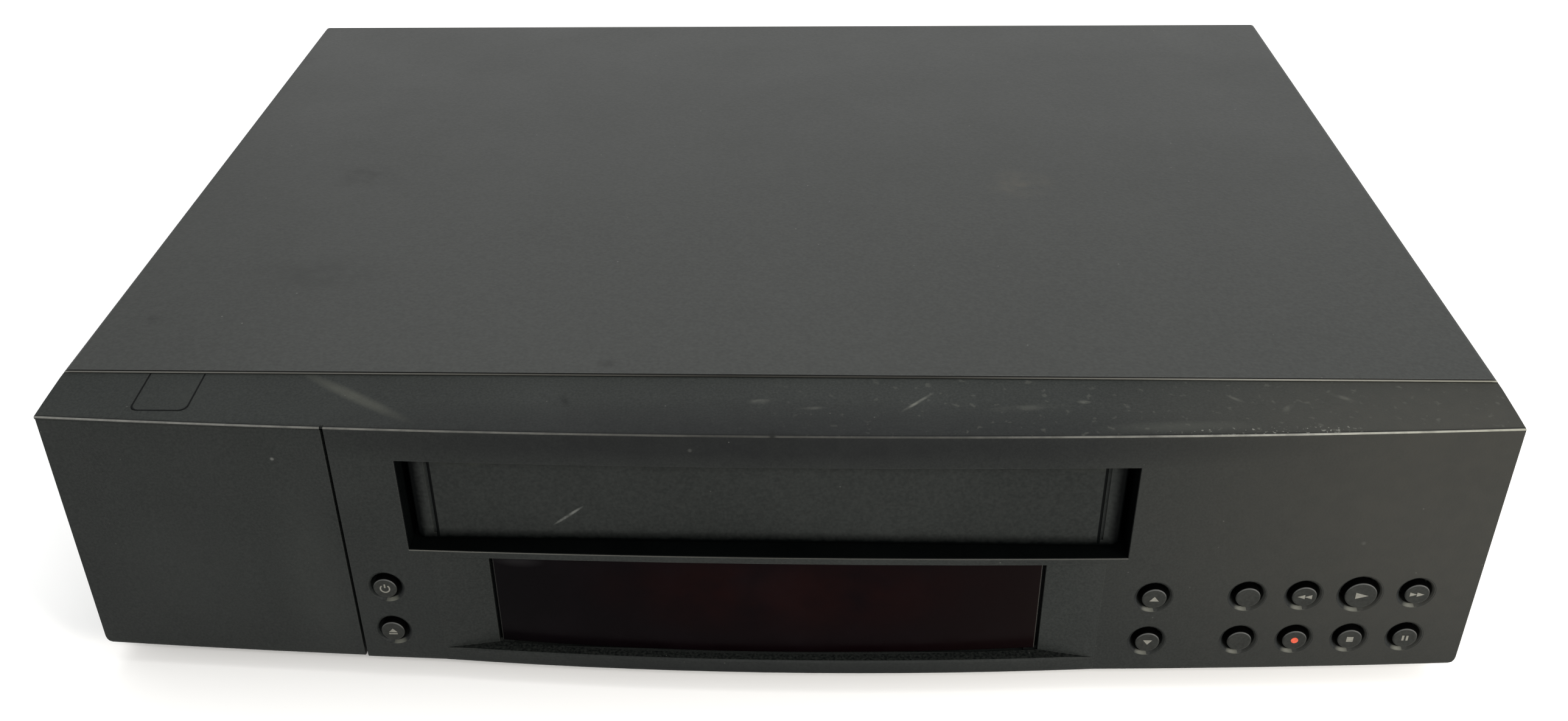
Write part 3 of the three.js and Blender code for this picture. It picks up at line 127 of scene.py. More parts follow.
def aim_camera():
    pitch, yaw, roll = (math.radians(angle) for angle in (CAMERA_PITCH, CAMERA_YAW, CAMERA_ROLL))
    turn = Matrix.Rotation(yaw, 3, "Z").inverted() @ Matrix.Rotation(math.radians(90) - pitch, 3, "X")
    turn = turn @ Matrix.Rotation(roll, 3, "Z")
    data = bpy.data.cameras.new("view")
    data.sensor_width = 36
    data.lens = CAMERA_LENS
    data.shift_x, data.shift_y = CAMERA_SHIFT
    camera = bpy.data.objects.new("view", data)
    camera.matrix_world = Matrix.Translation(Vector(CAMERA_PLACE) * MM) @ turn.to_4x4()
    bpy.context.scene.collection.objects.link(camera)
    bpy.context.scene.camera = camera


aim_camera()


# Node helpers
def linear(code):
    parts = [int(code[i:i + 2], 16) / 255 for i in (1, 3, 5)]
    return [c / 12.92 if c <= 0.04045 else ((c + 0.055) / 1.055) ** 2.4 for c in parts] + [1]


def add(tree, kind, inputs=None, **settings):
    """One node with its settings; an input is a value, or a socket to link from."""
    made = tree.nodes.new(kind)
    for name, value in settings.items():
        setattr(made, name, value)
    for key, value in (inputs or {}).items():
        if isinstance(value, bpy.types.NodeSocket):
            tree.links.new(value, made.inputs[key])
        else:
            made.inputs[key].default_value = value
    return made


def new_material(name, colour, roughness, metallic=0.0, **more):
    material = bpy.data.materials.new(name)
    material.use_nodes = True
    tree = material.node_tree
    shader = tree.nodes["Principled BSDF"]
    shader.inputs["Base Color"].default_value = linear(colour)
    shader.inputs["Roughness"].default_value = roughness
    shader.inputs["Metallic"].default_value = metallic
    for key, value in more.items():
        shader.inputs[key.replace("_", " ")].default_value = value
    return material, tree, shader


def feed(tree, shader, socket, source):
    tree.links.new(source, shader.inputs[socket])


def maths(tree, operation, first, second):
    return add(tree, "ShaderNodeMath", {0: first, 1: second}, operation=operation).outputs[0]


def product(tree, *factors):
    total = factors[0]
    for factor in factors[1:]:
        total = maths(tree, "MULTIPLY", total, factor)
    return total


def largest(tree, *values):
    most = values[0]
    for value in values[1:]:
        most = maths(tree, "MAXIMUM", most, value)
    return most


def between(tree, value, low, high, to_low=0.0, to_high=1.0):
    """A value's range from low to high, stretched to another range and held inside it."""
    made = add(tree, "ShaderNodeMapRange",
               {"Value": value, "From Min": low, "From Max": high, "To Min": to_low, "To Max": to_high})
    return made.outputs[0]


def varied(tree, source, low, high):
    """A number that follows a noise between two limits."""
    return between(tree, source, 0.3, 0.7, low, high)


def ramp(tree, factor, stops):
    made = add(tree, "ShaderNodeValToRGB", {"Fac": factor})
    points = made.color_ramp.elements
    while len(points) < len(stops):
        points.new(0.5)
    for point, (place, code) in zip(points, stops):
        point.position = place
        point.color = linear(code)
    return made.outputs["Color"]


def shades(tree, source, dark, light):
    """A colour that follows a noise between two colours."""
    return ramp(tree, source, [(0.3, dark), (0.7, light)])


def mixed(tree, factor, first, second):
    made = add(tree, "ShaderNodeMix", {0: factor, 6: first, 7: second}, data_type="RGBA", blend_type="MIX")
    return made.outputs[2]


def painted(tree, tone, code, mask, share=None):
    """A tone with a colour laid over it where the mask is 1, as strongly as share says."""
    if share is not None:
        mask = maths(tree, "MULTIPLY", mask, share)
    return mixed(tree, mask, tone, linear(code))


def scaled(tree, tone, factor):
    return add(tree, "ShaderNodeVectorMath", {0: tone, "Scale": factor}, operation="SCALE").outputs[0]


def own_place(tree):
    return add(tree, "ShaderNodeTexCoord").outputs["Object"]


def at_rest(tree, node=None):
    """Object coordinates as places in the whole assembly, for a moving node too."""
    where = own_place(tree)
    if node is None:
        return where
    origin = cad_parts[node].matrix_world.translation
    return add(tree, "ShaderNodeVectorMath", {0: where, 1: list(origin)}, operation="ADD").outputs[0]


def place_mm(tree, node=None):
    """Where a point of the surface is, as x, y and z in millimetres."""
    where = add(tree, "ShaderNodeVectorMath", {0: at_rest(tree, node), 1: [1 / MM] * 3},
                operation="MULTIPLY")
    return add(tree, "ShaderNodeSeparateXYZ", {0: where.outputs[0]}).outputs


def facing(tree):
    """Which way the flat surface looks, as x, y and z."""
    normal = add(tree, "ShaderNodeNewGeometry").outputs["Normal"]
    return add(tree, "ShaderNodeSeparateXYZ", {0: normal}).outputs


def noise(tree, size_mm, detail=2.0, stretch=(1, 1, 1), rough=0.5):
    """Noise whose grains are about size_mm across, stretched along the axes if asked."""
    spread = [1 / (size_mm * MM * s) for s in stretch]
    moved = add(tree, "ShaderNodeMapping", {"Vector": own_place(tree), "Scale": spread})
    made = add(tree, "ShaderNodeTexNoise",
               {"Vector": moved.outputs[0], "Scale": 1.0, "Detail": detail, "Roughness": rough})
    return made.outputs["Fac"]


def cells(tree, size_mm, **settings):
    """Cells about size_mm across."""
    return add(tree, "ShaderNodeTexVoronoi", {"Vector": own_place(tree), "Scale": 1 / (size_mm * MM)},
               **settings).outputs


def dust(tree, size_mm, share):
    """Sparse round specks: 1 on a speck, 0 elsewhere."""
    found = cells(tree, size_mm * 8)
    near = between(tree, found["Distance"], 0.09, 0.03)
    chosen = add(tree, "ShaderNodeSeparateColor", {0: found["Color"]}).outputs[0]
    return product(tree, near, between(tree, chosen, 1 - share, 1 - share + 0.01))


def spot(tree, x, y, z, rx, ry, rz, turn=0.0, lean=0.0, node=None):
    """1 in the middle of an ellipsoid at a place in millimetres, falling to 0 at its edge."""
    moved = add(tree, "ShaderNodeMapping", {
        "Vector": at_rest(tree, node), "Location": [x * MM, y * MM, z * MM], "Rotation": [0, lean, turn],
        "Scale": [rx * MM, ry * MM, rz * MM]}, vector_type="TEXTURE")
    length = add(tree, "ShaderNodeVectorMath", {0: moved.outputs[0]}, operation="LENGTH").outputs["Value"]
    return between(tree, length, 1.0, 0.3)


def band(tree, value, low, high, soft=0.08):
    """1 while a value in millimetres lies between two limits."""
    rise = between(tree, value, low - soft, low + soft)
    return product(tree, rise, between(tree, value, high + soft, high - soft))


def behind_face(tree, x, y):
    """How far a point lies behind the bowed face, in millimetres."""
    share = maths(tree, "DIVIDE", x, HALF_W)
    bow = product(tree, share, share, FACE_BOW)
    return maths(tree, "SUBTRACT", maths(tree, "SUBTRACT", y, FACE_FRONT), bow)


def rounded_edges(tree, radius_mm):
    return add(tree, "ShaderNodeBevel", {"Radius": radius_mm * MM}, samples=4).outputs[0]


def edge_mask(tree, rounded):
    """1 along edges, from how far the rounded normal leans away from the flat one."""
    flat = add(tree, "ShaderNodeNewGeometry").outputs["Normal"]
    along = add(tree, "ShaderNodeVectorMath", {0: rounded, 1: flat}, operation="DOT_PRODUCT")
    return between(tree, maths(tree, "SUBTRACT", 1.0, along.outputs["Value"]), 0.02, 0.25)


def bumped(tree, shader, height, depth_mm, normal=None):
    inputs = {"Height": height, "Distance": depth_mm * MM}
    if normal is not None:
        inputs["Normal"] = normal
    feed(tree, shader, "Normal", add(tree, "ShaderNodeBump", inputs).outputs[0])


def painted_edge_highlight(tree, x):
    """Painted highlight on a bare or rounded edge: light from both sides catches its ends, most of all the
    right one.
    """
    stops = [(0.0, "#6d6d69"), (0.27, "#5a5a56"), (0.47, "#363633"), (0.62, "#3c3c39"), (0.75, "#666661"),
             (0.86, "#8a8a83"), (1.0, "#838379")]
    return ramp(tree, between(tree, x, -HALF_W, HALF_W), stops)


# Greasy and dull patches on the cover: place, half sizes and shade
COVER_PATCHES = (
    (-157, 0, 17, 12, "#171917"), (90, -6, 14, 13, "#383731"), (-213, 117, 9, 9, "#1b1d1b"),
    (-150, -75, 30, 16, "#1f211f"), (-48, -129, 5, 3, "#0f110f"), (-198, -105, 4, 3, "#0f110f"),
)


# Baked enamel on folded steel: semi-matt dark grey, the finest orange peel, greasy patches and dust, edges
# paler with wear and painted highlight; the sheet's front edge is dark, with a bare line along its top
# painted brighter towards its ends as a highlight
def baked_enamel():
    material, tree, shader = new_material("baked_enamel", "#272927", 0.45, Specular_IOR_Level=0.22)
    tone = shades(tree, noise(tree, 70, 4, rough=0.55), "#242624", "#272927")
    grain = noise(tree, 1.1, 2)
    tone = mixed(tree, 0.25, tone, shades(tree, grain, "#1a1c1a", "#3a3c3a"))
    for x, y, rx, ry, shade in COVER_PATCHES:
        broken = between(tree, noise(tree, 6, 3), 0.35, 0.65)
        patch = product(tree, spot(tree, x, y, COVER_TOP, rx, ry, 30), broken)
        tone = painted(tree, tone, shade, patch, 0.75)
    rounded = rounded_edges(tree, 0.5)
    # Rounded edges made paler: part wear, part painted highlight
    broken = between(tree, noise(tree, 9, 3), 0.3, 0.6, 0.25, 0.8)
    tone = painted(tree, tone, "#727471", product(tree, edge_mask(tree, rounded), broken))
    tone = painted(tree, tone, "#7a7b76", dust(tree, 0.5, 0.05), 0.4)
    x, y, z = place_mm(tree)
    cut = band(tree, y, STRIP_BACK - 1, STRIP_BACK + 0.1)
    tone = painted(tree, tone, "#101110", cut)
    # The bare line of the edge, painted as a highlight that is brightest towards its ends
    bare = product(tree, cut, band(tree, z, COVER_TOP - 1, COVER_TOP - 0.45))
    feed(tree, shader, "Base Color", mixed(tree, bare, tone, painted_edge_highlight(tree, x)))
    feed(tree, shader, "Roughness", varied(tree, noise(tree, 38, 4), 0.43, 0.47))
    bumped(tree, shader, grain, 0.03, rounded)
    return material


# Patches of this half size in millimetres and over, among them the painted light and shade, are even;
# smaller ones are broken up
BROAD = 20


# Moulded ABS with a fine spark-eroded grain: even dark grey, soft sheen, edges paler with rub and painted
# highlight
def moulded_abs(name, colour, light, dark, edge, roughness, grain_mm, scuffs_and_shading, marks, node=None, edge_rub_and_highlight=0.5,
                level=0.06):
    material, tree, shader = new_material(name, colour, roughness, Specular_IOR_Level=level)
    grain = noise(tree, grain_mm, 2)
    tone = mixed(tree, 0.2, shades(tree, noise(tree, 55, 3), dark, light),
                 shades(tree, grain, "#0f1110", "#323432"))
    rounded = rounded_edges(tree, 0.45)
    # Edges paler: part rubbing, part painted highlight
    tone = painted(tree, tone, edge, edge_mask(tree, rounded), edge_rub_and_highlight)
    # Scuffs, and broad patches of painted light and shade
    for x, y, z, rx, ry, rz, turn, lean, shade, share in scuffs_and_shading:
        least = 0.2 if max(rx, rz) < BROAD else 0.85
        patch = product(tree, spot(tree, x, y, z, rx, ry, rz, turn, lean, node),
                        between(tree, noise(tree, 5, 4), 0.4, 0.6, least, 1.0))
        tone = painted(tree, tone, shade, patch, share)
    tone = painted(tree, tone, "#6b6c67", dust(tree, 0.4, 0.05), 0.25)
    feed(tree, shader, "Base Color", marks(tree, tone, node))
    feed(tree, shader, "Roughness", varied(tree, noise(tree, 30, 4), roughness - 0.05, roughness + 0.05))
    bumped(tree, shader, grain, 0.025, rounded)
    return material


# Marks of the face: how much paler the strip is, how much painted light the right side of the bay takes,
# how wide the painted highlight lines of its edges are, and between which places across it the chips and
# flecks lie
STRIP_PALER, BAY_PAINTED_LIGHT = 1.42, 1.3
EDGE_LINE = 0.42
CHIPS_X, FLECKS_X = (116, 168), (-40, 60)


# The bezel's marks and painted light: paler strip, painted light on the right of the bay, a painted
# highlight along the crease with a dark line behind it, chips and flecks on its right half, a nick, and a
# painted highlight on the slot's floor edge
def bezel_marks_and_painted_light(tree, tone, node):
    x, y, z = place_mm(tree, node)
    strip = between(tree, z, CREASE_Z - 0.1, CREASE_Z + 0.1)
    tone = mixed(tree, strip, tone, scaled(tree, tone, STRIP_PALER))
    # Painted light: the right side of the bay, which faces away from the light at the right, made paler
    right = product(tree, band(tree, z, BAY_LOW, BAY_HIGH, 0.3), band(tree, x, WINDOW_HALF_W, FLANK_X))
    tone = mixed(tree, right, tone, scaled(tree, tone, BAY_PAINTED_LIGHT))
    depth = behind_face(tree, x, y)
    edge = band(tree, depth, -1, EDGE_LINE)
    high = band(tree, z, CREASE_Z - EDGE_LINE, CREASE_Z + 1)
    tone = painted(tree, tone, "#0b0c0c", product(tree, high, band(tree, depth, 0.5, 0.95)), 0.6)
    # Painted highlight along the crease, brightest towards its ends
    line = product(tree, high, edge, between(tree, noise(tree, 4, 3), 0.3, 0.6, 0.55, 0.9))
    tone = mixed(tree, line, tone, painted_edge_highlight(tree, x))
    chips = product(tree, between(tree, noise(tree, 1.0, 3), 0.62, 0.68), band(tree, depth, 0.3, 3.4, 0.4),
                    band(tree, x, *CHIPS_X, 6), between(tree, z, CREASE_Z - 0.6, CREASE_Z - 0.2))
    tone = painted(tree, tone, "#7d7e78", chips, 0.45)
    flecks = product(tree, between(tree, noise(tree, 2.6, 4), 0.62, 0.7),
                     between(tree, z, CREASE_Z - 0.2, CREASE_Z), between(tree, x, *FLECKS_X))
    tone = painted(tree, tone, "#565751", flecks, 0.22)
    tone = painted(tree, tone, "#161716", spot(tree, 2.7, FACE_FRONT, CREASE_Z, 1.3, 4, 1.3), 0.9)
    # Painted highlight along the front edge of the slot's floor
    lip = product(tree, edge, band(tree, z, SLOT_FLOOR - 0.3, SLOT_FLOOR + 0.1),
                  band(tree, x, -SLOT_HALF_W, SLOT_HALF_W))
    across = between(tree, x, -SLOT_HALF_W, SLOT_HALF_W)
    pale = ramp(tree, across, [(0.0, "#4c4c48"), (0.5, "#333330"), (1.0, "#434340")])
    return mixed(tree, lip, tone, pale)


# Painted shade: the flap falls into shade towards its ends and foot, and its two grooves are painted black
def painted_flap_shade(tree, tone, node):
    x, _, z = place_mm(tree, node)
    side = maths(tree, "ABSOLUTE", x, 0.0)
    uneven = varied(tree, noise(tree, 2, 4), -0.3, 0.3)
    ends = between(tree, maths(tree, "ADD", side, uneven), 102.2, 104.6)
    foot = between(tree, maths(tree, "ADD", z, uneven), SLOT_FLOOR + 4.8, SLOT_FLOOR + 1.4)
    groove = band(tree, side, GROOVE_X - 1.25, GROOVE_X - 0.25)
    return painted(tree, tone, "#020303", largest(tree, ends, foot, groove))


# Painted shade and highlight on the cap: its skirt down in its hole is painted black as shade, and its
# rounded rim is painted pale as a highlight where it faces up
def painted_cap_highlight_and_shade(tree, tone, node):
    _, y, z = facing(tree)
    forward = maths(tree, "ABSOLUTE", y, 0.0)
    # Painted highlight on the rim; then painted shade on the skirt
    rim = product(tree, band(tree, forward, 0.42, 0.94, 0.05), between(tree, z, 0.1, 0.45, 0.0, 0.55))
    tone = painted(tree, tone, "#575857", rim)
    return painted(tree, tone, "#020202", between(tree, forward, 0.38, 0.22))


# Mouths of the button holes: a shade darker than the face, with a painted highlight on the lower side
def painted_mouth_highlight(tree, tone, node):
    painted_highlight = add(tree, "ShaderNodeAttribute", attribute_name="painted_highlight").outputs["Fac"]
    return painted(tree, tone, "#4b4c46", painted_highlight)


# Smoked acrylic: near-black, softly shining, with a dull red depth where the display sits behind it, and a
# painted highlight along its side edges
def smoked_acrylic():
    material, tree, shader = new_material("smoked_acrylic", "#080303", 0.26, IOR=1.49,
                                          Specular_IOR_Level=0.02)
    x = place_mm(tree)[0]
    across = between(tree, x, -WINDOW_HALF_W, WINDOW_HALF_W)
    tone = ramp(tree, across, [(0.0, "#050405"), (0.35, "#050203"), (0.7, "#060203"), (1.0, "#0a0505")])
    glow = product(tree, spot(tree, 8, FACE_FRONT, 40, 70, 20, 22),
                   between(tree, noise(tree, 18, 3), 0.3, 0.6))
    tone = painted(tree, tone, "#0d0303", glow)
    tone = painted(tree, tone, "#110c0f", between(tree, noise(tree, 26, 4), 0.5, 0.8, 0.0, 0.25))
    tone = painted(tree, tone, "#1a191a", spot(tree, -76, FACE_FRONT, 48, 9, 20, 3), 0.6)
    # Painted highlight along the pane's side edges
    edge = band(tree, maths(tree, "ABSOLUTE", x, 0.0), LENS_HALF_W - 0.3, LENS_HALF_W + 1)
    feed(tree, shader, "Base Color", painted(tree, tone, "#4d4d4a", edge, 0.35))
    feed(tree, shader, "Roughness", varied(tree, noise(tree, 12, 4), 0.2, 0.34))
    bumped(tree, shader, noise(tree, 60, 1), 0.05, rounded_edges(tree, 0.3))
    return material


# Black styrene, moulded smooth: deep black with a low sheen
def black_styrene(name, colour, cloud, roughness, level):
    material, tree, shader = new_material(name, colour, roughness, Specular_IOR_Level=level)
    grain = noise(tree, 0.9, 2)
    clouds = between(tree, noise(tree, 20, 3), 0.3, 0.75, 0.0, 0.4)
    tone = mixed(tree, clouds, linear(colour), linear(cloud))
    feed(tree, shader, "Base Color", painted(tree, tone, "#5a5b58", dust(tree, 0.4, 0.04), 0.4))
    feed(tree, shader, "Roughness", varied(tree, grain, roughness - 0.08, roughness + 0.08))
    bumped(tree, shader, grain, 0.02, rounded_edges(tree, 0.25))
    return material


# The same black styrene, laid as painted shade where dust lies: grey fluff and specks caught on it
def shaded_dusty_black():
    material, tree, shader = new_material("shaded_dusty_black", "#101211", 0.45, Specular_IOR_Level=0.1)
    fluff = between(tree, noise(tree, 0.9, 4), 0.35, 0.75)
    tone = mixed(tree, fluff, linear("#0a0c0c"), linear("#1d1f1d"))
    feed(tree, shader, "Base Color", painted(tree, tone, "#6b6c67", dust(tree, 0.28, 0.3), 0.7))
    feed(tree, shader, "Roughness", between(tree, fluff, 0.0, 0.6, 0.3, 0.6))
    bumped(tree, shader, noise(tree, 0.8, 3), 0.04)
    return material


# Zinc-plated sheet: cool grey metal with the mottled spangle and rolling marks of plated steel
def zinc_plate():
    material, tree, shader = new_material("zinc_plate", "#a6aaad", 0.38, 1.0)
    rolled = noise(tree, 3, 3, stretch=(0.25, 6, 1))
    mottled = noise(tree, 14, 4)
    tone = mixed(tree, 0.2, shades(tree, mottled, "#999da0", "#a9adaf"),
                 shades(tree, rolled, "#83878a", "#bcc0c2"))
    feed(tree, shader, "Base Color", tone)
    feed(tree, shader, "Roughness", varied(tree, mottled, 0.38, 0.44))
    bumped(tree, shader, rolled, 0.01, rounded_edges(tree, 0.25))
    return material


def turned_metal(name, colour, roughness, dark, light, cloud_mm, cut_mm, stretch, shine, depth_mm, edge_mm):
    """A bare metal: cloudy colour, and the fine lines of the cut in its gloss and its surface."""
    material, tree, shader = new_material(name, colour, roughness, 1.0)
    lines = noise(tree, cut_mm, 2, stretch=stretch)
    feed(tree, shader, "Base Color", shades(tree, noise(tree, cloud_mm, 3), dark, light))
    feed(tree, shader, "Roughness", varied(tree, lines, *shine))
    bumped(tree, shader, lines, depth_mm, rounded_edges(tree, edge_mm))
    return material


# Phenolic board: brown-green solder mask over tracks, tinned pads; what stands on it is black epoxy and
# black sleeves with bare ends, and one tinned shield
def phenolic_board():
    material, tree, shader = new_material("phenolic_board", "#4a4a25", 0.5)
    apart = cells(tree, 4.5, distance="MANHATTAN")["Distance"]
    tracks = between(tree, apart, 0.42, 0.5)
    tone = mixed(tree, tracks, linear("#3d4222"), linear("#565a2f"))
    tone = painted(tree, tone, "#a9aaa2", between(tree, apart, 0.12, 0.08), 0.8)
    x, y, z = place_mm(tree)
    standing = product(tree, between(tree, z, BOARD_TOP + 0.1, BOARD_TOP + 0.3),
                       between(tree, y, BOARDS_FRONT - 2, BOARDS_FRONT))
    tone = mixed(tree, standing, tone, shades(tree, noise(tree, 9, 3), "#121313", "#1d1e1f"))
    low_ends = band(tree, z, LOW_CAN_TOP - 0.2, LOW_CAN_TOP + 0.2)
    high_ends = product(tree, band(tree, z, HIGH_CAN_TOP - 0.2, HIGH_CAN_TOP + 0.2),
                        between(tree, x, HIGH_CAN_SIDE, HIGH_CAN_SIDE - 1))
    upward = between(tree, facing(tree)[2], 0.7, 0.9)
    shield = product(tree, standing, band(tree, x, *SHIELD_X), band(tree, y, *SHIELD_Y))
    bare = product(tree, largest(tree, shield, low_ends, high_ends), largest(tree, shield, upward))
    feed(tree, shader, "Base Color", painted(tree, tone, "#8f9190", bare))
    feed(tree, shader, "Roughness", varied(tree, noise(tree, 5, 3), 0.38, 0.55))
    bumped(tree, shader, product(tree, tracks, maths(tree, "SUBTRACT", 1.0, standing)), 0.04,
           rounded_edges(tree, 0.2))
    return material


# Acetal, machined or moulded: milky white, waxy, light passes a little way in
def milky_acetal():
    material, tree, shader = new_material("milky_acetal", "#d6d5cc", 0.42)
    shader.inputs["Subsurface Weight"].default_value = 0.15
    shader.inputs["Subsurface Radius"].default_value = [0.002, 0.0018, 0.0015]
    feed(tree, shader, "Base Color", shades(tree, noise(tree, 12, 3), "#cbc9be", "#dedcd4"))
    bumped(tree, shader, noise(tree, 0.8, 2), 0.01, rounded_edges(tree, 0.3))
    return material


# Vulcanised rubber: dull black with a bloom of grey
def dull_rubber():
    material, tree, shader = new_material("dull_rubber", "#191919", 0.85)
    bloom = noise(tree, 7, 4)
    feed(tree, shader, "Base Color", ramp(tree, bloom, [(0.35, "#131313"), (0.75, "#2a2a29")]))
    feed(tree, shader, "Roughness", varied(tree, bloom, 0.75, 0.95))
    bumped(tree, shader, noise(tree, 0.7, 2), 0.04, rounded_edges(tree, 0.4))
    return material


# Glass of a display tube: smoky blue-green, with a fine grid behind its face
def tube_glass():
    material, tree, shader = new_material("tube_glass", "#16201f", 0.08, IOR=1.5)
    grid = cells(tree, 1.6, distance="CHEBYCHEV")["Distance"]
    feed(tree, shader, "Base Color", ramp(tree, grid, [(0.3, "#121b1a"), (0.6, "#2a3735")]))
    feed(tree, shader, "Roughness", varied(tree, noise(tree, 9, 2), 0.05, 0.14))
    return material


# Enamelled copper wire, wound in layers round the transformer's bobbin
def wound_copper():
    material, tree, shader = new_material("wound_copper", "#a4582f", 0.34, 0.85)
    wire = noise(tree, 0.7, 1, stretch=(20, 20, 1))
    feed(tree, shader, "Base Color", shades(tree, wire, "#6f3517", "#bb6a3a"))
    feed(tree, shader, "Roughness", varied(tree, wire, 0.26, 0.44))
    bumped(tree, shader, wire, 0.15, rounded_edges(tree, 0.3))
    return material


# Pad-printed ink: thin, flat, slightly uneven at its edge
def printed_ink(name, colour, worn):
    material, tree, shader = new_material(name, colour, 0.55)
    feed(tree, shader, "Base Color", ramp(tree, noise(tree, 0.9, 3), [(0.25, worn), (0.55, colour)]))
    bumped(tree, shader, noise(tree, 0.4, 2), 0.01)
    return material


# Coloured plastic collar round the bore of a socket: moulded, with a soft shine
def collar_plastic(name, colour, dark):
    material, tree, shader = new_material(name, colour, 0.4)
    feed(tree, shader, "Base Color", ramp(tree, noise(tree, 1.5, 3), [(0.3, dark), (0.6, colour)]))
    bumped(tree, shader, noise(tree, 0.6, 2), 0.01, rounded_edges(tree, 0.1))
    return material


# Scuffs, and broad patches of painted light and shade: place, half sizes, turn, lean, shade and strength
BEZEL_SCUFFS_AND_SHADING = (
    (-122, STRIP_BACK - 11, 99, 25, 2.6, 5, -0.555, 0.0, "#373833", 0.6),
    (44.7, STRIP_BACK - 11.8, 99, 7.5, 0.7, 4, 0.75, 0.0, "#595a54", 0.6),
    (137, STRIP_BACK - 9, 99, 3.5, 0.8, 4, -0.6, 0.0, "#4c4d48", 0.45),
    (168, STRIP_BACK - 8, 99, 4.5, 1.1, 4, -0.5, 0.0, "#565751", 0.5),
    (151, STRIP_BACK - 13, 99, 3, 1.2, 4, 0.7, 0.0, "#565751", 0.5),
    (93, STRIP_BACK - 11, 99, 2.2, 1.0, 4, 0.0, 0.0, "#565751", 0.5),
    (-1, STRIP_BACK - 12, 99, 4.5, 1.4, 4, 0.1, 0.0, "#4c4d48", 0.5),
    (14, STRIP_BACK - 15, 99, 5, 0.9, 4, 0.1, 0.0, "#4c4d48", 0.35),
    (-172, STRIP_BACK - 9, 99, 8, 8, 4, 0.0, 0.0, "#222422", 0.6),
    (76, STRIP_BACK - 14, 99, 13, 1.6, 4, 0.1, 0.0, "#3d3e3a", 0.35),
    (-59, STRIP_BACK - 12, 99, 4, 1.4, 4, -1.1, 0.0, "#0b0c0b", 0.5),
    (120, STRIP_BACK - 22, 99, 26, 3, 5, 0.05, 0.0, "#363834", 0.5),
    (-21, FACE_FRONT, 93, 0.8, 4, 0.8, 0.0, 0.0, "#8b8c87", 0.9),
    (177, FACE_FRONT + 4, 58, 0.9, 6, 0.9, 0.0, 0.0, "#8b8c87", 0.9),
    # Painted light on the right of the face; painted shade below the crease and along the foot
    (215, FACE_FRONT, 75, 130, 60, 110, 0.0, 0.0, "#2a2a27", 0.95),
    (0, FACE_FRONT, 95, 175, 20, 11, 0.0, 0.0, "#0f1011", 0.7),
    (0, FACE_FRONT, 4, 125, 20, 12, 0.0, 0.0, "#0d0f10", 0.8),
)
DOOR_SCUFFS_AND_LIGHT = (
    (-145, FACE_FRONT, 86, 0.9, 6, 0.9, 0.0, 0.0, "#8b8c87", 0.9),
    # Painted light on the middle and lower door, as from the floor's bounce
    (-140, FACE_FRONT, 40, 13, 30, 42, 0.0, 0.0, "#2f312f", 0.25),
    (-178, FACE_FRONT, 34, 40, 30, 34, 0.0, 0.0, "#2c2e2d", 0.25),
)
FLAP_SCUFFS = (
    (-59.2, FACE_FRONT + 6.5, 63.6, 6.5, 9, 0.6, 0.0, -0.65, "#6b6d69", 0.6),
    (-90, FACE_FRONT + 6.5, 84, 10, 9, 3, 0.0, 0.0, "#33352f", 0.5),
    (94, FACE_FRONT + 6.5, 84, 8, 9, 3, 0.0, 0.0, "#33352f", 0.5),
)

# What each kind of material in the model becomes
FINISHES = {
    "cover_paint": baked_enamel(),
    "front_plastic": moulded_abs("grey_abs", "#1d1f1e", "#202221", "#1a1c1b", "#5b5d59", 0.44, 0.7,
                                 BEZEL_SCUFFS_AND_SHADING, bezel_marks_and_painted_light, edge_rub_and_highlight=0.15),
    "flap_plastic": moulded_abs("flap_abs", "#202221", "#232524", "#1d1f1e", "#4d4f4c", 0.5, 0.9,
                                FLAP_SCUFFS, painted_flap_shade, "cassette_flap", 0.15, 0.03),
    "button_plastic": moulded_abs("button_abs", "#1f201e", "#222321", "#1d1e1c", "#5a5c5a", 0.4, 0.9,
                                  (), painted_cap_highlight_and_shade),
    "black_plastic": black_styrene("black_styrene", "#0d0e0e", "#161818", 0.5, 0.3),
    "smoked_lens": smoked_acrylic(),
    "zinc_sheet": zinc_plate(),
    # Bright steel, turned or drawn: fine rings of the cut, a hard narrow shine
    "bright_steel": turned_metal("turned_steel", "#c3c6c8", 0.22, "#b3b6b8", "#d0d3d4", 6, 0.6, (1, 1, 8),
                                 (0.16, 0.3), 0.008, 0.2),
    # Die-cast aluminium, faced on a lathe: pale grey, satin, faint rings
    "cast_aluminium": turned_metal("cast_aluminium", "#b3b5b6", 0.36, "#a3a5a6", "#c0c2c3", 9, 0.8,
                                   (6, 6, 0.4), (0.28, 0.44), 0.01, 0.25),
    "circuit_board": phenolic_board(),
    "white_nylon": milky_acetal(),
    "rubber_black": dull_rubber(),
    # Plated brass, turned: warm yellow metal
    "brass": turned_metal("turned_brass", "#b8954f", 0.26, "#a58242", "#c7a660", 5, 0.5, (1, 1, 6),
                          (0.2, 0.36), 0.006, 0.2),
    "tube_glass": tube_glass(),
    "copper_winding": wound_copper(),
}
DOOR_ABS = moulded_abs("door_abs", "#1d1f1e", "#202221", "#1a1c1b", "#5b5d59", 0.44, 0.7, DOOR_SCUFFS_AND_LIGHT,
                       bezel_marks_and_painted_light, "input_door", 0.15)
MOUTH_ABS = moulded_abs("mouth_abs", "#171919", "#191b1b", "#151617", "#3a3c39", 0.4, 0.9, (), painted_mouth_highlight)
# Black for painted shade in the slot and round the window, and for the dirt on the film's edge
SHADE_AND_DIRT_BLACK = black_styrene("shade_and_dirt_black", "#020303", "#070909", 0.45, 0.05)
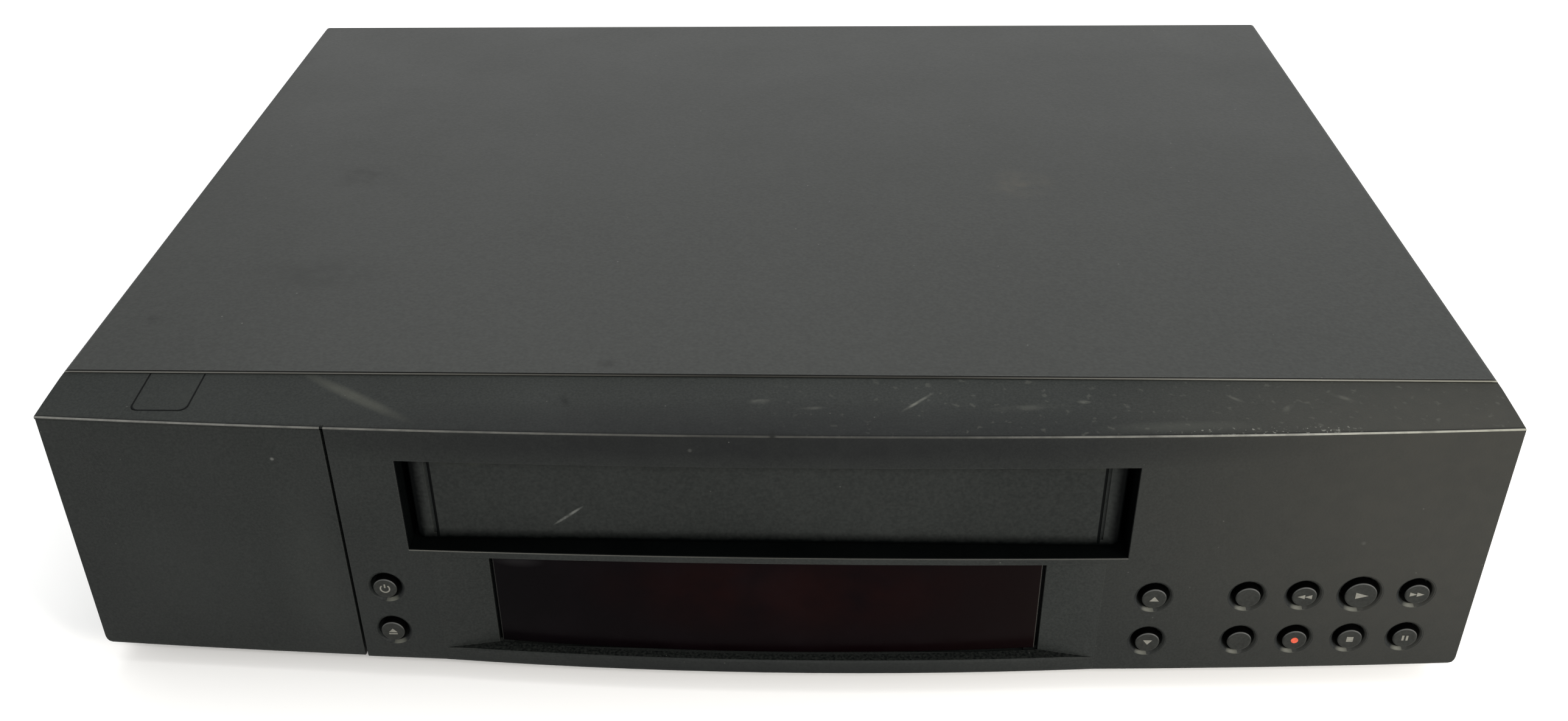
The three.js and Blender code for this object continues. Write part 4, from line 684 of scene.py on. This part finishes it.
# Painted shade with dust, for the top of the ledge below the window
SHADED_DUSTY_BLACK = shaded_dusty_black()
PALE_INK = printed_ink("pale_ink", "#605f57", "#4c4c46")
ORANGE_INK = printed_ink("orange_ink", "#b43f20", "#963218")


# Edges that bend more than this stay sharp: on the model's own pieces, and on the mesh pieces made here
SHARP_OWN, SHARP_MADE = math.radians(32), math.radians(40)


# Smooth shading for the model's own pieces: split corners are merged and only sharp edges stay sharp
def smoothing_group():
    group = bpy.data.node_groups.new("smooth_by_angle", "GeometryNodeTree")
    group.interface.new_socket("Geometry", in_out="INPUT", socket_type="NodeSocketGeometry")
    group.interface.new_socket("Geometry", in_out="OUTPUT", socket_type="NodeSocketGeometry")
    start = add(group, "NodeGroupInput")
    bare = add(group, "GeometryNodeRemoveAttribute",
               {"Geometry": start.outputs[0], "Name": "custom_normal"})
    merged = add(group, "GeometryNodeMergeByDistance",
                 {"Geometry": bare.outputs[0], "Distance": 0.002 * MM})
    angle = add(group, "GeometryNodeInputMeshEdgeAngle").outputs["Unsigned Angle"]
    soft = add(group, "FunctionNodeCompare", {0: angle, 1: SHARP_OWN}, operation="LESS_THAN")
    faces = add(group, "GeometryNodeSetShadeSmooth", {"Geometry": merged.outputs[0]}, domain="FACE")
    edges = add(group, "GeometryNodeSetShadeSmooth",
                {"Geometry": faces.outputs[0], "Shade Smooth": soft.outputs[0]}, domain="EDGE")
    end = add(group, "NodeGroupOutput")
    group.links.new(edges.outputs[0], end.inputs[0])
    return group


SMOOTHING = smoothing_group()


def dress_nodes():
    for name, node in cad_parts.items():
        for slot in node.material_slots:
            slot.material = DOOR_ABS if name == "input_door" else FINISHES[slot.material.name.split(".")[0]]
        node.modifiers.new("smooth", "NODES").node_group = SMOOTHING
        even = node.modifiers.new("even", "WEIGHTED_NORMAL")
        even.keep_sharp = True


# Mesh pieces
def piece(name, points, faces, material, body, smooth=True):
    """A mesh piece from points in millimetres, riding on a body."""
    mesh = bpy.data.meshes.new(name)
    mesh.from_pydata([tuple(c * MM for c in p) for p in points], [], faces)
    mesh.materials.append(material)
    mesh.polygons.foreach_set("use_smooth", [smooth] * len(mesh.polygons))
    if smooth:
        mesh.set_sharp_from_angle(angle=SHARP_MADE)
    made = bpy.data.objects.new(name, mesh)
    bpy.context.scene.collection.objects.link(made)
    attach(made, body)
    return made


def in_mm(corners):
    return [corner / MM for corner in corners]


def arc(u, v, r, start, end, steps):
    turns = [math.radians(start + (end - start) * i / steps) for i in range(steps + 1)]
    return [(u + r * math.cos(t), v + r * math.sin(t)) for t in turns]


def circle(r):
    return arc(0, 0, r, 0, 345, 23)


def sheet(rows, wide, start=0, closed=False):
    """Faces between rows of points, each row wide points long; closed rows run all the way round."""
    faces = []
    for i in range(rows - 1):
        here, there = start + i * wide, start + (i + 1) * wide
        for k in range(wide if closed else wide - 1):
            j = (k + 1) % wide
            faces.append((here + k, here + j, there + j, there + k))
    return faces


def ribbon(steps):
    """Faces between pairs of points, the first and second of each pair being its two edges."""
    return [(2 * i, 2 * i + 2, 2 * i + 3, 2 * i + 1) for i in range(steps)]


def lathe(profile, place, sides=48):
    """Points and faces of an outline of [radius, depth] turned about a line from front to back."""
    x, y, z = place
    turns = [2 * math.pi * k / sides for k in range(sides)]
    points = [(x + r * math.cos(t), y + d, z + r * math.sin(t)) for r, d in profile for t in turns]
    faces = sheet(len(profile), sides, closed=True)
    last = (len(profile) - 1) * sides
    faces.append(tuple(range(sides))[::-1])
    faces.append(tuple(last + k for k in range(sides)))
    return points, faces


# Push buttons: turned caps with a rounded rim and a faintly dished face, in place of the plain ones
def dress_button(name):
    low, high = in_mm(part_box(name))
    x, z = (low.x + high.x) / 2, (low.z + high.z) / 2
    front, back = low.y, high.y
    wide = (high.z - low.z) / 2
    cap = PLAY_CAP_R if name == "play_button" else CAP_R
    rim, dish = 0.5, 0.12
    profile = [(0.2, dish), (cap * 0.6, dish * 0.8), (cap - rim - 0.25, 0.02), (cap - rim, 0)]
    profile += [(cap - rim + r, rim - d) for r, d in arc(0, 0, rim, 90, 0, 5)][1:]
    flange = back - front - 1.2
    profile += [(cap, flange), (wide, flange), (wide, back - front)]
    points, faces = lathe(profile, (x, front, z))
    made = piece(name.replace("button", "cap"), points, faces, FINISHES["button_plastic"], name)
    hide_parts(name)
    return x, front, z


def printed(name, outlines, place, body, material, thick=0.04):
    """Flat outlines of [across, up] millimetres, printed on a face that looks forwards."""
    x, y, z = place
    points, faces = [], []
    for outline in outlines:
        start, count = len(points), len(outline)
        for depth in (-thick, thick):
            points += [(x + u, y + depth, z + v) for u, v in outline]
        faces.append(tuple(start + k for k in range(count)))
        for k in range(count):
            j = (k + 1) % count
            faces.append((start + j, start + k, start + count + k, start + count + j))
    return piece(name, points, faces, material, body, smooth=False)


def ring_arc(r, thick, start, end, steps=20):
    return arc(0, 0, r, start, end, steps) + arc(0, 0, r - thick, end, start, steps)


def wedge(u, half, height, way=1):
    """A triangle that points along the row of buttons."""
    return [(u, -half), (u + way * height, 0), (u, half)][::way]


def bar(u0, u1, v0, v1):
    return [(u0, v0), (u1, v0), (u1, v1), (u0, v1)]


SYMBOLS = {
    "power_button": [ring_arc(1.65, 0.45, 130, 410), bar(-0.23, 0.23, 0.35, 1.75)],
    "eject_button": [[(-1.35, -0.35), (1.35, -0.35), (0, 1.15)], bar(-1.35, 1.35, -1.2, -0.75)],
    "channel_up_button": [[(-1.4, -0.9), (1.4, -0.9), (0, 0.9)]],
    "channel_down_button": [[(-1.4, 0.9), (0, -0.9), (1.4, 0.9)]],
    "rewind_button": [wedge(0.1, 0.8, 2.2, -1), wedge(2.2, 0.8, 2.2, -1)],
    "play_button": [wedge(-1.6, 1.2, 3.8)],
    "forward_button": [wedge(-2.2, 0.8, 2.2), wedge(-0.1, 0.8, 2.2)],
    "record_button": [circle(1.1)],
    "stop_button": [bar(-1.0, 1.0, -1.0, 1.0)],
    "pause_button": [bar(-0.95, -0.3, -1.0, 1.0), bar(0.3, 0.95, -1.0, 1.0)],
}


def dress_buttons():
    for name in [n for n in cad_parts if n.endswith("_button")]:
        x, front, z = dress_button(name)
        line_mouth(name, x, z)
        if name in SYMBOLS:
            ink = ORANGE_INK if name == "record_button" else PALE_INK
            printed(name.replace("button", "mark"), SYMBOLS[name], (x, front + 0.08, z), name, ink)


# Where round its hole the middle of the painted highlight lies, left and right of the window, and how far
# it reaches to each side, in degrees
HIGHLIGHT_LEFT, HIGHLIGHT_RIGHT, HIGHLIGHT_REACH = -74, -101, 27


# Mouths of the button holes: a small cone runs in to each hole, with a painted highlight on its lower side
def line_mouth(name, x, z, sides=96, skin=0.06):
    hole = PLAY_HOLE_R if name == "play_button" else HOLE_R
    outline = [(MOUTH + 0.02, 0.02), (MOUTH - 0.06, 0.04), (0.1, MOUTH - 0.1), (0.0, MOUTH + 0.05)]
    middle = math.radians(HIGHLIGHT_RIGHT if x > 0 else HIGHLIGHT_LEFT)
    reach = math.radians(HIGHLIGHT_REACH)
    points, painted_highlight = [], []
    for step, (out, deep) in enumerate(outline):
        for k in range(sides):
            turn = 2 * math.pi * k / sides
            px, pz = x + (hole + out) * math.cos(turn), z + (hole + out) * math.sin(turn)
            points.append((px, face_y(px) + deep - skin, pz))
            away = abs(math.remainder(turn - middle, 2 * math.pi)) / reach
            painted_highlight.append(0 if away > 1 else (1 - away ** 2) * (0.6 if step == 0 else 1))
    faces = sheet(len(outline), sides, closed=True)
    made = piece(name.replace("button", "hole_mouth"), points, faces, MOUTH_ABS, "chassis")
    made.data.attributes.new("painted_highlight", "FLOAT", "POINT").data.foreach_set("value", painted_highlight)


# Clear film patch stuck on the strip, left end: the raised edge of a thin plate, where dirt has gathered
def stick_film():
    left, right, front, back, corner = -187.5, -170.6, STRIP_BACK - 18.2, STRIP_BACK - 0.4, 2.4
    outline = [(left, back)] + arc(left + corner, front + corner, corner, 180, 270, 8)
    outline += arc(right - corner, front + corner, corner, 270, 360, 8) + [(right, back)]
    middle = ((left + right) / 2, (front + back) / 2)
    section = ((0.26, 0.02), (0.2, 0.07), (-0.2, 0.07), (-0.26, 0.02))
    points = []
    for grow, lift in section:
        for u, v in outline:
            u += grow if u > middle[0] else -grow
            v += -grow if v < middle[1] else 0
            points.append((u, v, strip_z(u, v) + lift))
    made = piece("film_edge", points, sheet(len(section), len(outline)), SHADE_AND_DIRT_BLACK, "chassis")


# Painted shade in the slot: black sheets on its floor and cheeks that follow the bow of the face
def shade_slot(steps=24, skin=0.2, edge=0.15):
    points, faces = [], []

    def strip(rows):
        faces.extend(sheet(len(rows), len(rows[0]), start=len(points)))
        for row in rows:
            points.extend(row)

    floor, top = [], SLOT_FLOOR + skin
    for i in range(steps + 1):
        x = -SLOT_HALF_W + 2 * SLOT_HALF_W * i / steps
        front = face_y(x) + edge
        floor.append([(x, front, SLOT_FLOOR), (x, front, top), (x, SLOT_BACK, top)])
    strip(floor)
    for side in (-1, 1):
        x = side * (SLOT_HALF_W - skin)
        front = face_y(x) + edge
        strip([[(side * SLOT_HALF_W, front, z), (x, front, z), (x, SLOT_BACK, z)]
               for z in (SLOT_FLOOR, SLOT_TOP)])
    made = piece("slot_shade_sheet", points, faces, SHADE_AND_DIRT_BLACK, "chassis")


def edge_drop(inset, radius):
    """How far a rounded edge falls back at a distance in from its rim."""
    return 0 if inset >= radius else radius - math.sqrt(radius ** 2 - (radius - inset) ** 2)


# Window: a bowed pane with rounded edges, in front of a black sheet of painted shade that shows as a line
# all round it
def glaze_window(steps=40, radius=0.45, thick=2.0, gap=0.8):
    half, low, high = LENS_HALF_W, BAY_LOW + gap, BAY_HIGH - 0.35
    rim = [0, radius * 0.25, radius * 0.6, radius]
    flat = half - radius
    xs = [-half + r for r in rim]
    xs += [-half + radius + 2 * flat * i / steps for i in range(1, steps)]
    xs += [half - r for r in rim[::-1]]
    zs = [low + r for r in rim] + [high - r for r in rim[::-1]]
    points = []
    for z in zs:
        for x in xs:
            drop = max(edge_drop(half - abs(x), radius), edge_drop(min(z - low, high - z), radius))
            points.append((x, lens_y(x) + drop, z))
    wide = len(xs)
    faces = sheet(len(zs), wide)
    rim_loop = list(range(wide)) + [i * wide + wide - 1 for i in range(1, len(zs))]
    rim_loop += [(len(zs) - 1) * wide + k for k in range(wide - 2, -1, -1)]
    rim_loop += [i * wide for i in range(len(zs) - 2, 0, -1)]
    start, count = len(points), len(rim_loop)
    points += [(points[k][0], lens_y(points[k][0]) + thick, points[k][2]) for k in rim_loop]
    for k in range(count):
        j = (k + 1) % count
        faces.append((rim_loop[k], start + k, start + j, rim_loop[j]))
    faces.append(tuple(range(start, start + count)))
    made = piece("window_pane", points, faces, FINISHES["smoked_lens"], "chassis")
    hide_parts("display_window")
    mask, mask_half = [], WINDOW_HALF_W + 0.2
    for i in range(steps + 1):
        x = -mask_half + 2 * mask_half * i / steps
        mask += [(x, lens_y(x) + thick + 0.1, z) for z in (BAY_LOW - 0.2, BAY_HIGH + 0.1)]
    made = piece("window_shade_sheet", mask, ribbon(steps), SHADE_AND_DIRT_BLACK, "chassis")


# Ledge below the window: a thin skin on its top, painted dark as shade, with dust on it
def top_ledge(steps=48, skin=0.05):
    points, level = [], BAY_LOW + skin
    for i in range(steps + 1):
        x = -FLANK_X + 2 * FLANK_X * i / steps
        front = face_y(x) - LEDGE_BULGE * (1 - (x / FLANK_X) ** 2) + 0.55
        share = (FLANK_X - abs(x)) / (FLANK_X - WINDOW_HALF_W)
        flank = face_y(FLANK_X) + (LENS_SIDE - face_y(FLANK_X)) * min(share, 1)
        back = lens_y(x) if abs(x) < WINDOW_HALF_W else flank
        points += [(x, min(front, back - 0.01), level), (x, back, level)]
    made = piece("ledge_top", points, ribbon(steps), SHADED_DUSTY_BLACK, "chassis")


def collar(name, place, material, way=1, deep=0.5, lip=0.15):
    """A ring with a rounded lip round a socket's bore; way is +1 on the rear and -1 on the front."""
    outer, inner = SOCKET_R - 0.4, BORE_R + 0.3
    profile = [(inner, 0), (outer, 0), (outer, way * (deep - lip)), (outer - lip, way * deep),
               (inner + lip, way * deep), (inner, way * (deep - lip)), (inner, 0)]
    points, faces = lathe(profile, place, sides=32)
    made = piece(name, points, [face[::way] for face in faces[:-2]], material, "chassis")


# Sockets: yellow, white and red collars, sunk a little way into the end of each barrel
def ring_sockets(sunk=0.3):
    plastics = [collar_plastic("yellow_collar", "#c9a21c", "#b08c14"),
                collar_plastic("white_collar", "#c4c3bb", "#a9a8a0"),
                collar_plastic("red_collar", "#9c2a22", "#83201a")]
    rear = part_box("rear_jacks")[1].y / MM
    for column, plastic in enumerate(plastics):
        for row, z in enumerate(REAR_SOCKET_Z):
            x = REAR_SOCKET_X + column * REAR_SOCKET_PITCH
            collar(f"rear_collar_{column}_{row}", (x, rear - sunk, z), plastic)
    low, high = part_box("front_jacks")
    for column, plastic in enumerate(plastics):
        place = (FRONT_SOCKET_X[column], low.y / MM + sunk, (low.z + high.z) / 2 / MM)
        collar(f"front_collar_{column}", place, plastic, -1)


# Cover screws: pan heads with a real cross recess, in place of the plain ones
def dress_screw(name, axis, side):
    low, high = in_mm(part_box(name))
    middle = (low + high) / 2
    tip, end = (high, low) if side > 0 else (low, high)
    radius = (high.z - low.z) / 2
    half, arm = CROSS_HALF_W, CROSS_ARM
    cross = [(half, half), (arm, half), (arm, -half), (half, -half), (half, -arm), (-half, -arm),
             (-half, -half), (-arm, -half), (-arm, half), (-half, half), (-half, arm), (half, arm)]
    rim = circle(radius - 0.7)
    points, faces = [], []

    def put(outline, inwards):
        first = len(points)
        for a, b in outline:
            place = [middle.x, middle.y, middle.z + b]
            place[axis] = tip[axis] - side * inwards
            place[1 - axis] += a
            points.append(tuple(place))
        return first, len(outline)

    def wall(first, second):
        count = first[1]
        for k in range(count):
            j = (k + 1) % count
            faces.append((first[0] + k, first[0] + j, second[0] + j, second[0] + k))

    last, edge = put(rim, 0), put(cross, 0)
    flat = [[Vector((a, b, 0)) for a, b in outline] for outline in (rim, cross)]
    faces += [tuple(triangle) for triangle in tessellate_polygon(flat)]
    floor = put([(a * 0.8, b * 0.8) for a, b in cross], CROSS_DEEP)
    wall(edge, floor)
    faces.append(tuple(range(floor[0], floor[0] + floor[1])))
    for r, inwards in ((radius - 0.3, 0.2), (radius, 0.7), (radius, SCREW_HEAD), (SHANK_R, SCREW_HEAD),
                       (SHANK_R, abs(tip[axis] - end[axis]))):
        ring = put(circle(r), inwards)
        wall(last, ring)
        last = ring
    faces.append(tuple(range(last[0], last[0] + last[1])))
    made = piece(name.replace("cover_screw", "cross_screw"), points, faces, FINISHES["bright_steel"],
                 "chassis")
    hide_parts(name)


def dress_screws():
    for name, axis, side in (("cover_screw_left", 0, -1), ("cover_screw_right", 0, 1),
                             ("cover_screw_rear_left", 1, 1), ("cover_screw_rear_right", 1, 1)):
        dress_screw(name, axis, side)


dress_nodes()
dress_buttons()
shade_slot()
glaze_window()
top_ledge()
stick_film()
ring_sockets()
dress_screws()


# Setting: pale floor, broad soft light from above and behind, a lamp in front and a small one at the right
def make_floor(half=6.0):
    mesh = bpy.data.meshes.new("floor")
    corners = [(-half, -half, 0), (half, -half, 0), (half, half, 0), (-half, half, 0)]
    mesh.from_pydata(corners, [], [(0, 1, 2, 3)])
    material, tree, shader = new_material("pale_floor", "#fafaf9", 0.8)
    feed(tree, shader, "Base Color", shades(tree, noise(tree, 400, 2), "#f8f8f7", "#fcfcfb"))
    mesh.materials.append(material)
    floor = bpy.data.objects.new("floor", mesh)
    bpy.context.scene.collection.objects.link(floor)


def soft_light(name, place, aim, size, power, colour="#ffffff"):
    data = bpy.data.lights.new(name, "AREA")
    data.shape = "RECTANGLE"
    data.size, data.size_y = size
    data.energy = power
    data.color = linear(colour)[:3]
    lamp = bpy.data.objects.new(name, data)
    lamp.location = place
    lamp.rotation_euler = (Vector(aim) - Vector(place)).to_track_quat("-Z", "Y").to_euler()
    bpy.context.scene.collection.objects.link(lamp)


def make_world(strength=0.55):
    world = bpy.data.worlds.new("studio")
    world.use_nodes = True
    background = world.node_tree.nodes["Background"]
    background.inputs["Color"].default_value = linear("#ffffff")
    background.inputs["Strength"].default_value = strength
    bpy.context.scene.world = world


make_floor()
soft_light("overhead", (0.15, 0.5, 1.9), (0, 0, 0.05), (2.6, 2.0), 30)
soft_light("behind", (0.2, 2.3, 0.8), (0, 0, 0.1), (3.0, 0.8), 6)
soft_light("lamp", (0.2, -1.35, 1.15), (0, 0, 0.05), (0.6, 0.35), 12)
soft_light("side_lamp", (0.85, -0.75, 0.45), (0.2, -0.1, 0.05), (0.35, 0.3), 11.6, "#fff9f1")
make_world()
bpy.context.scene.view_settings.view_transform = "Standard"
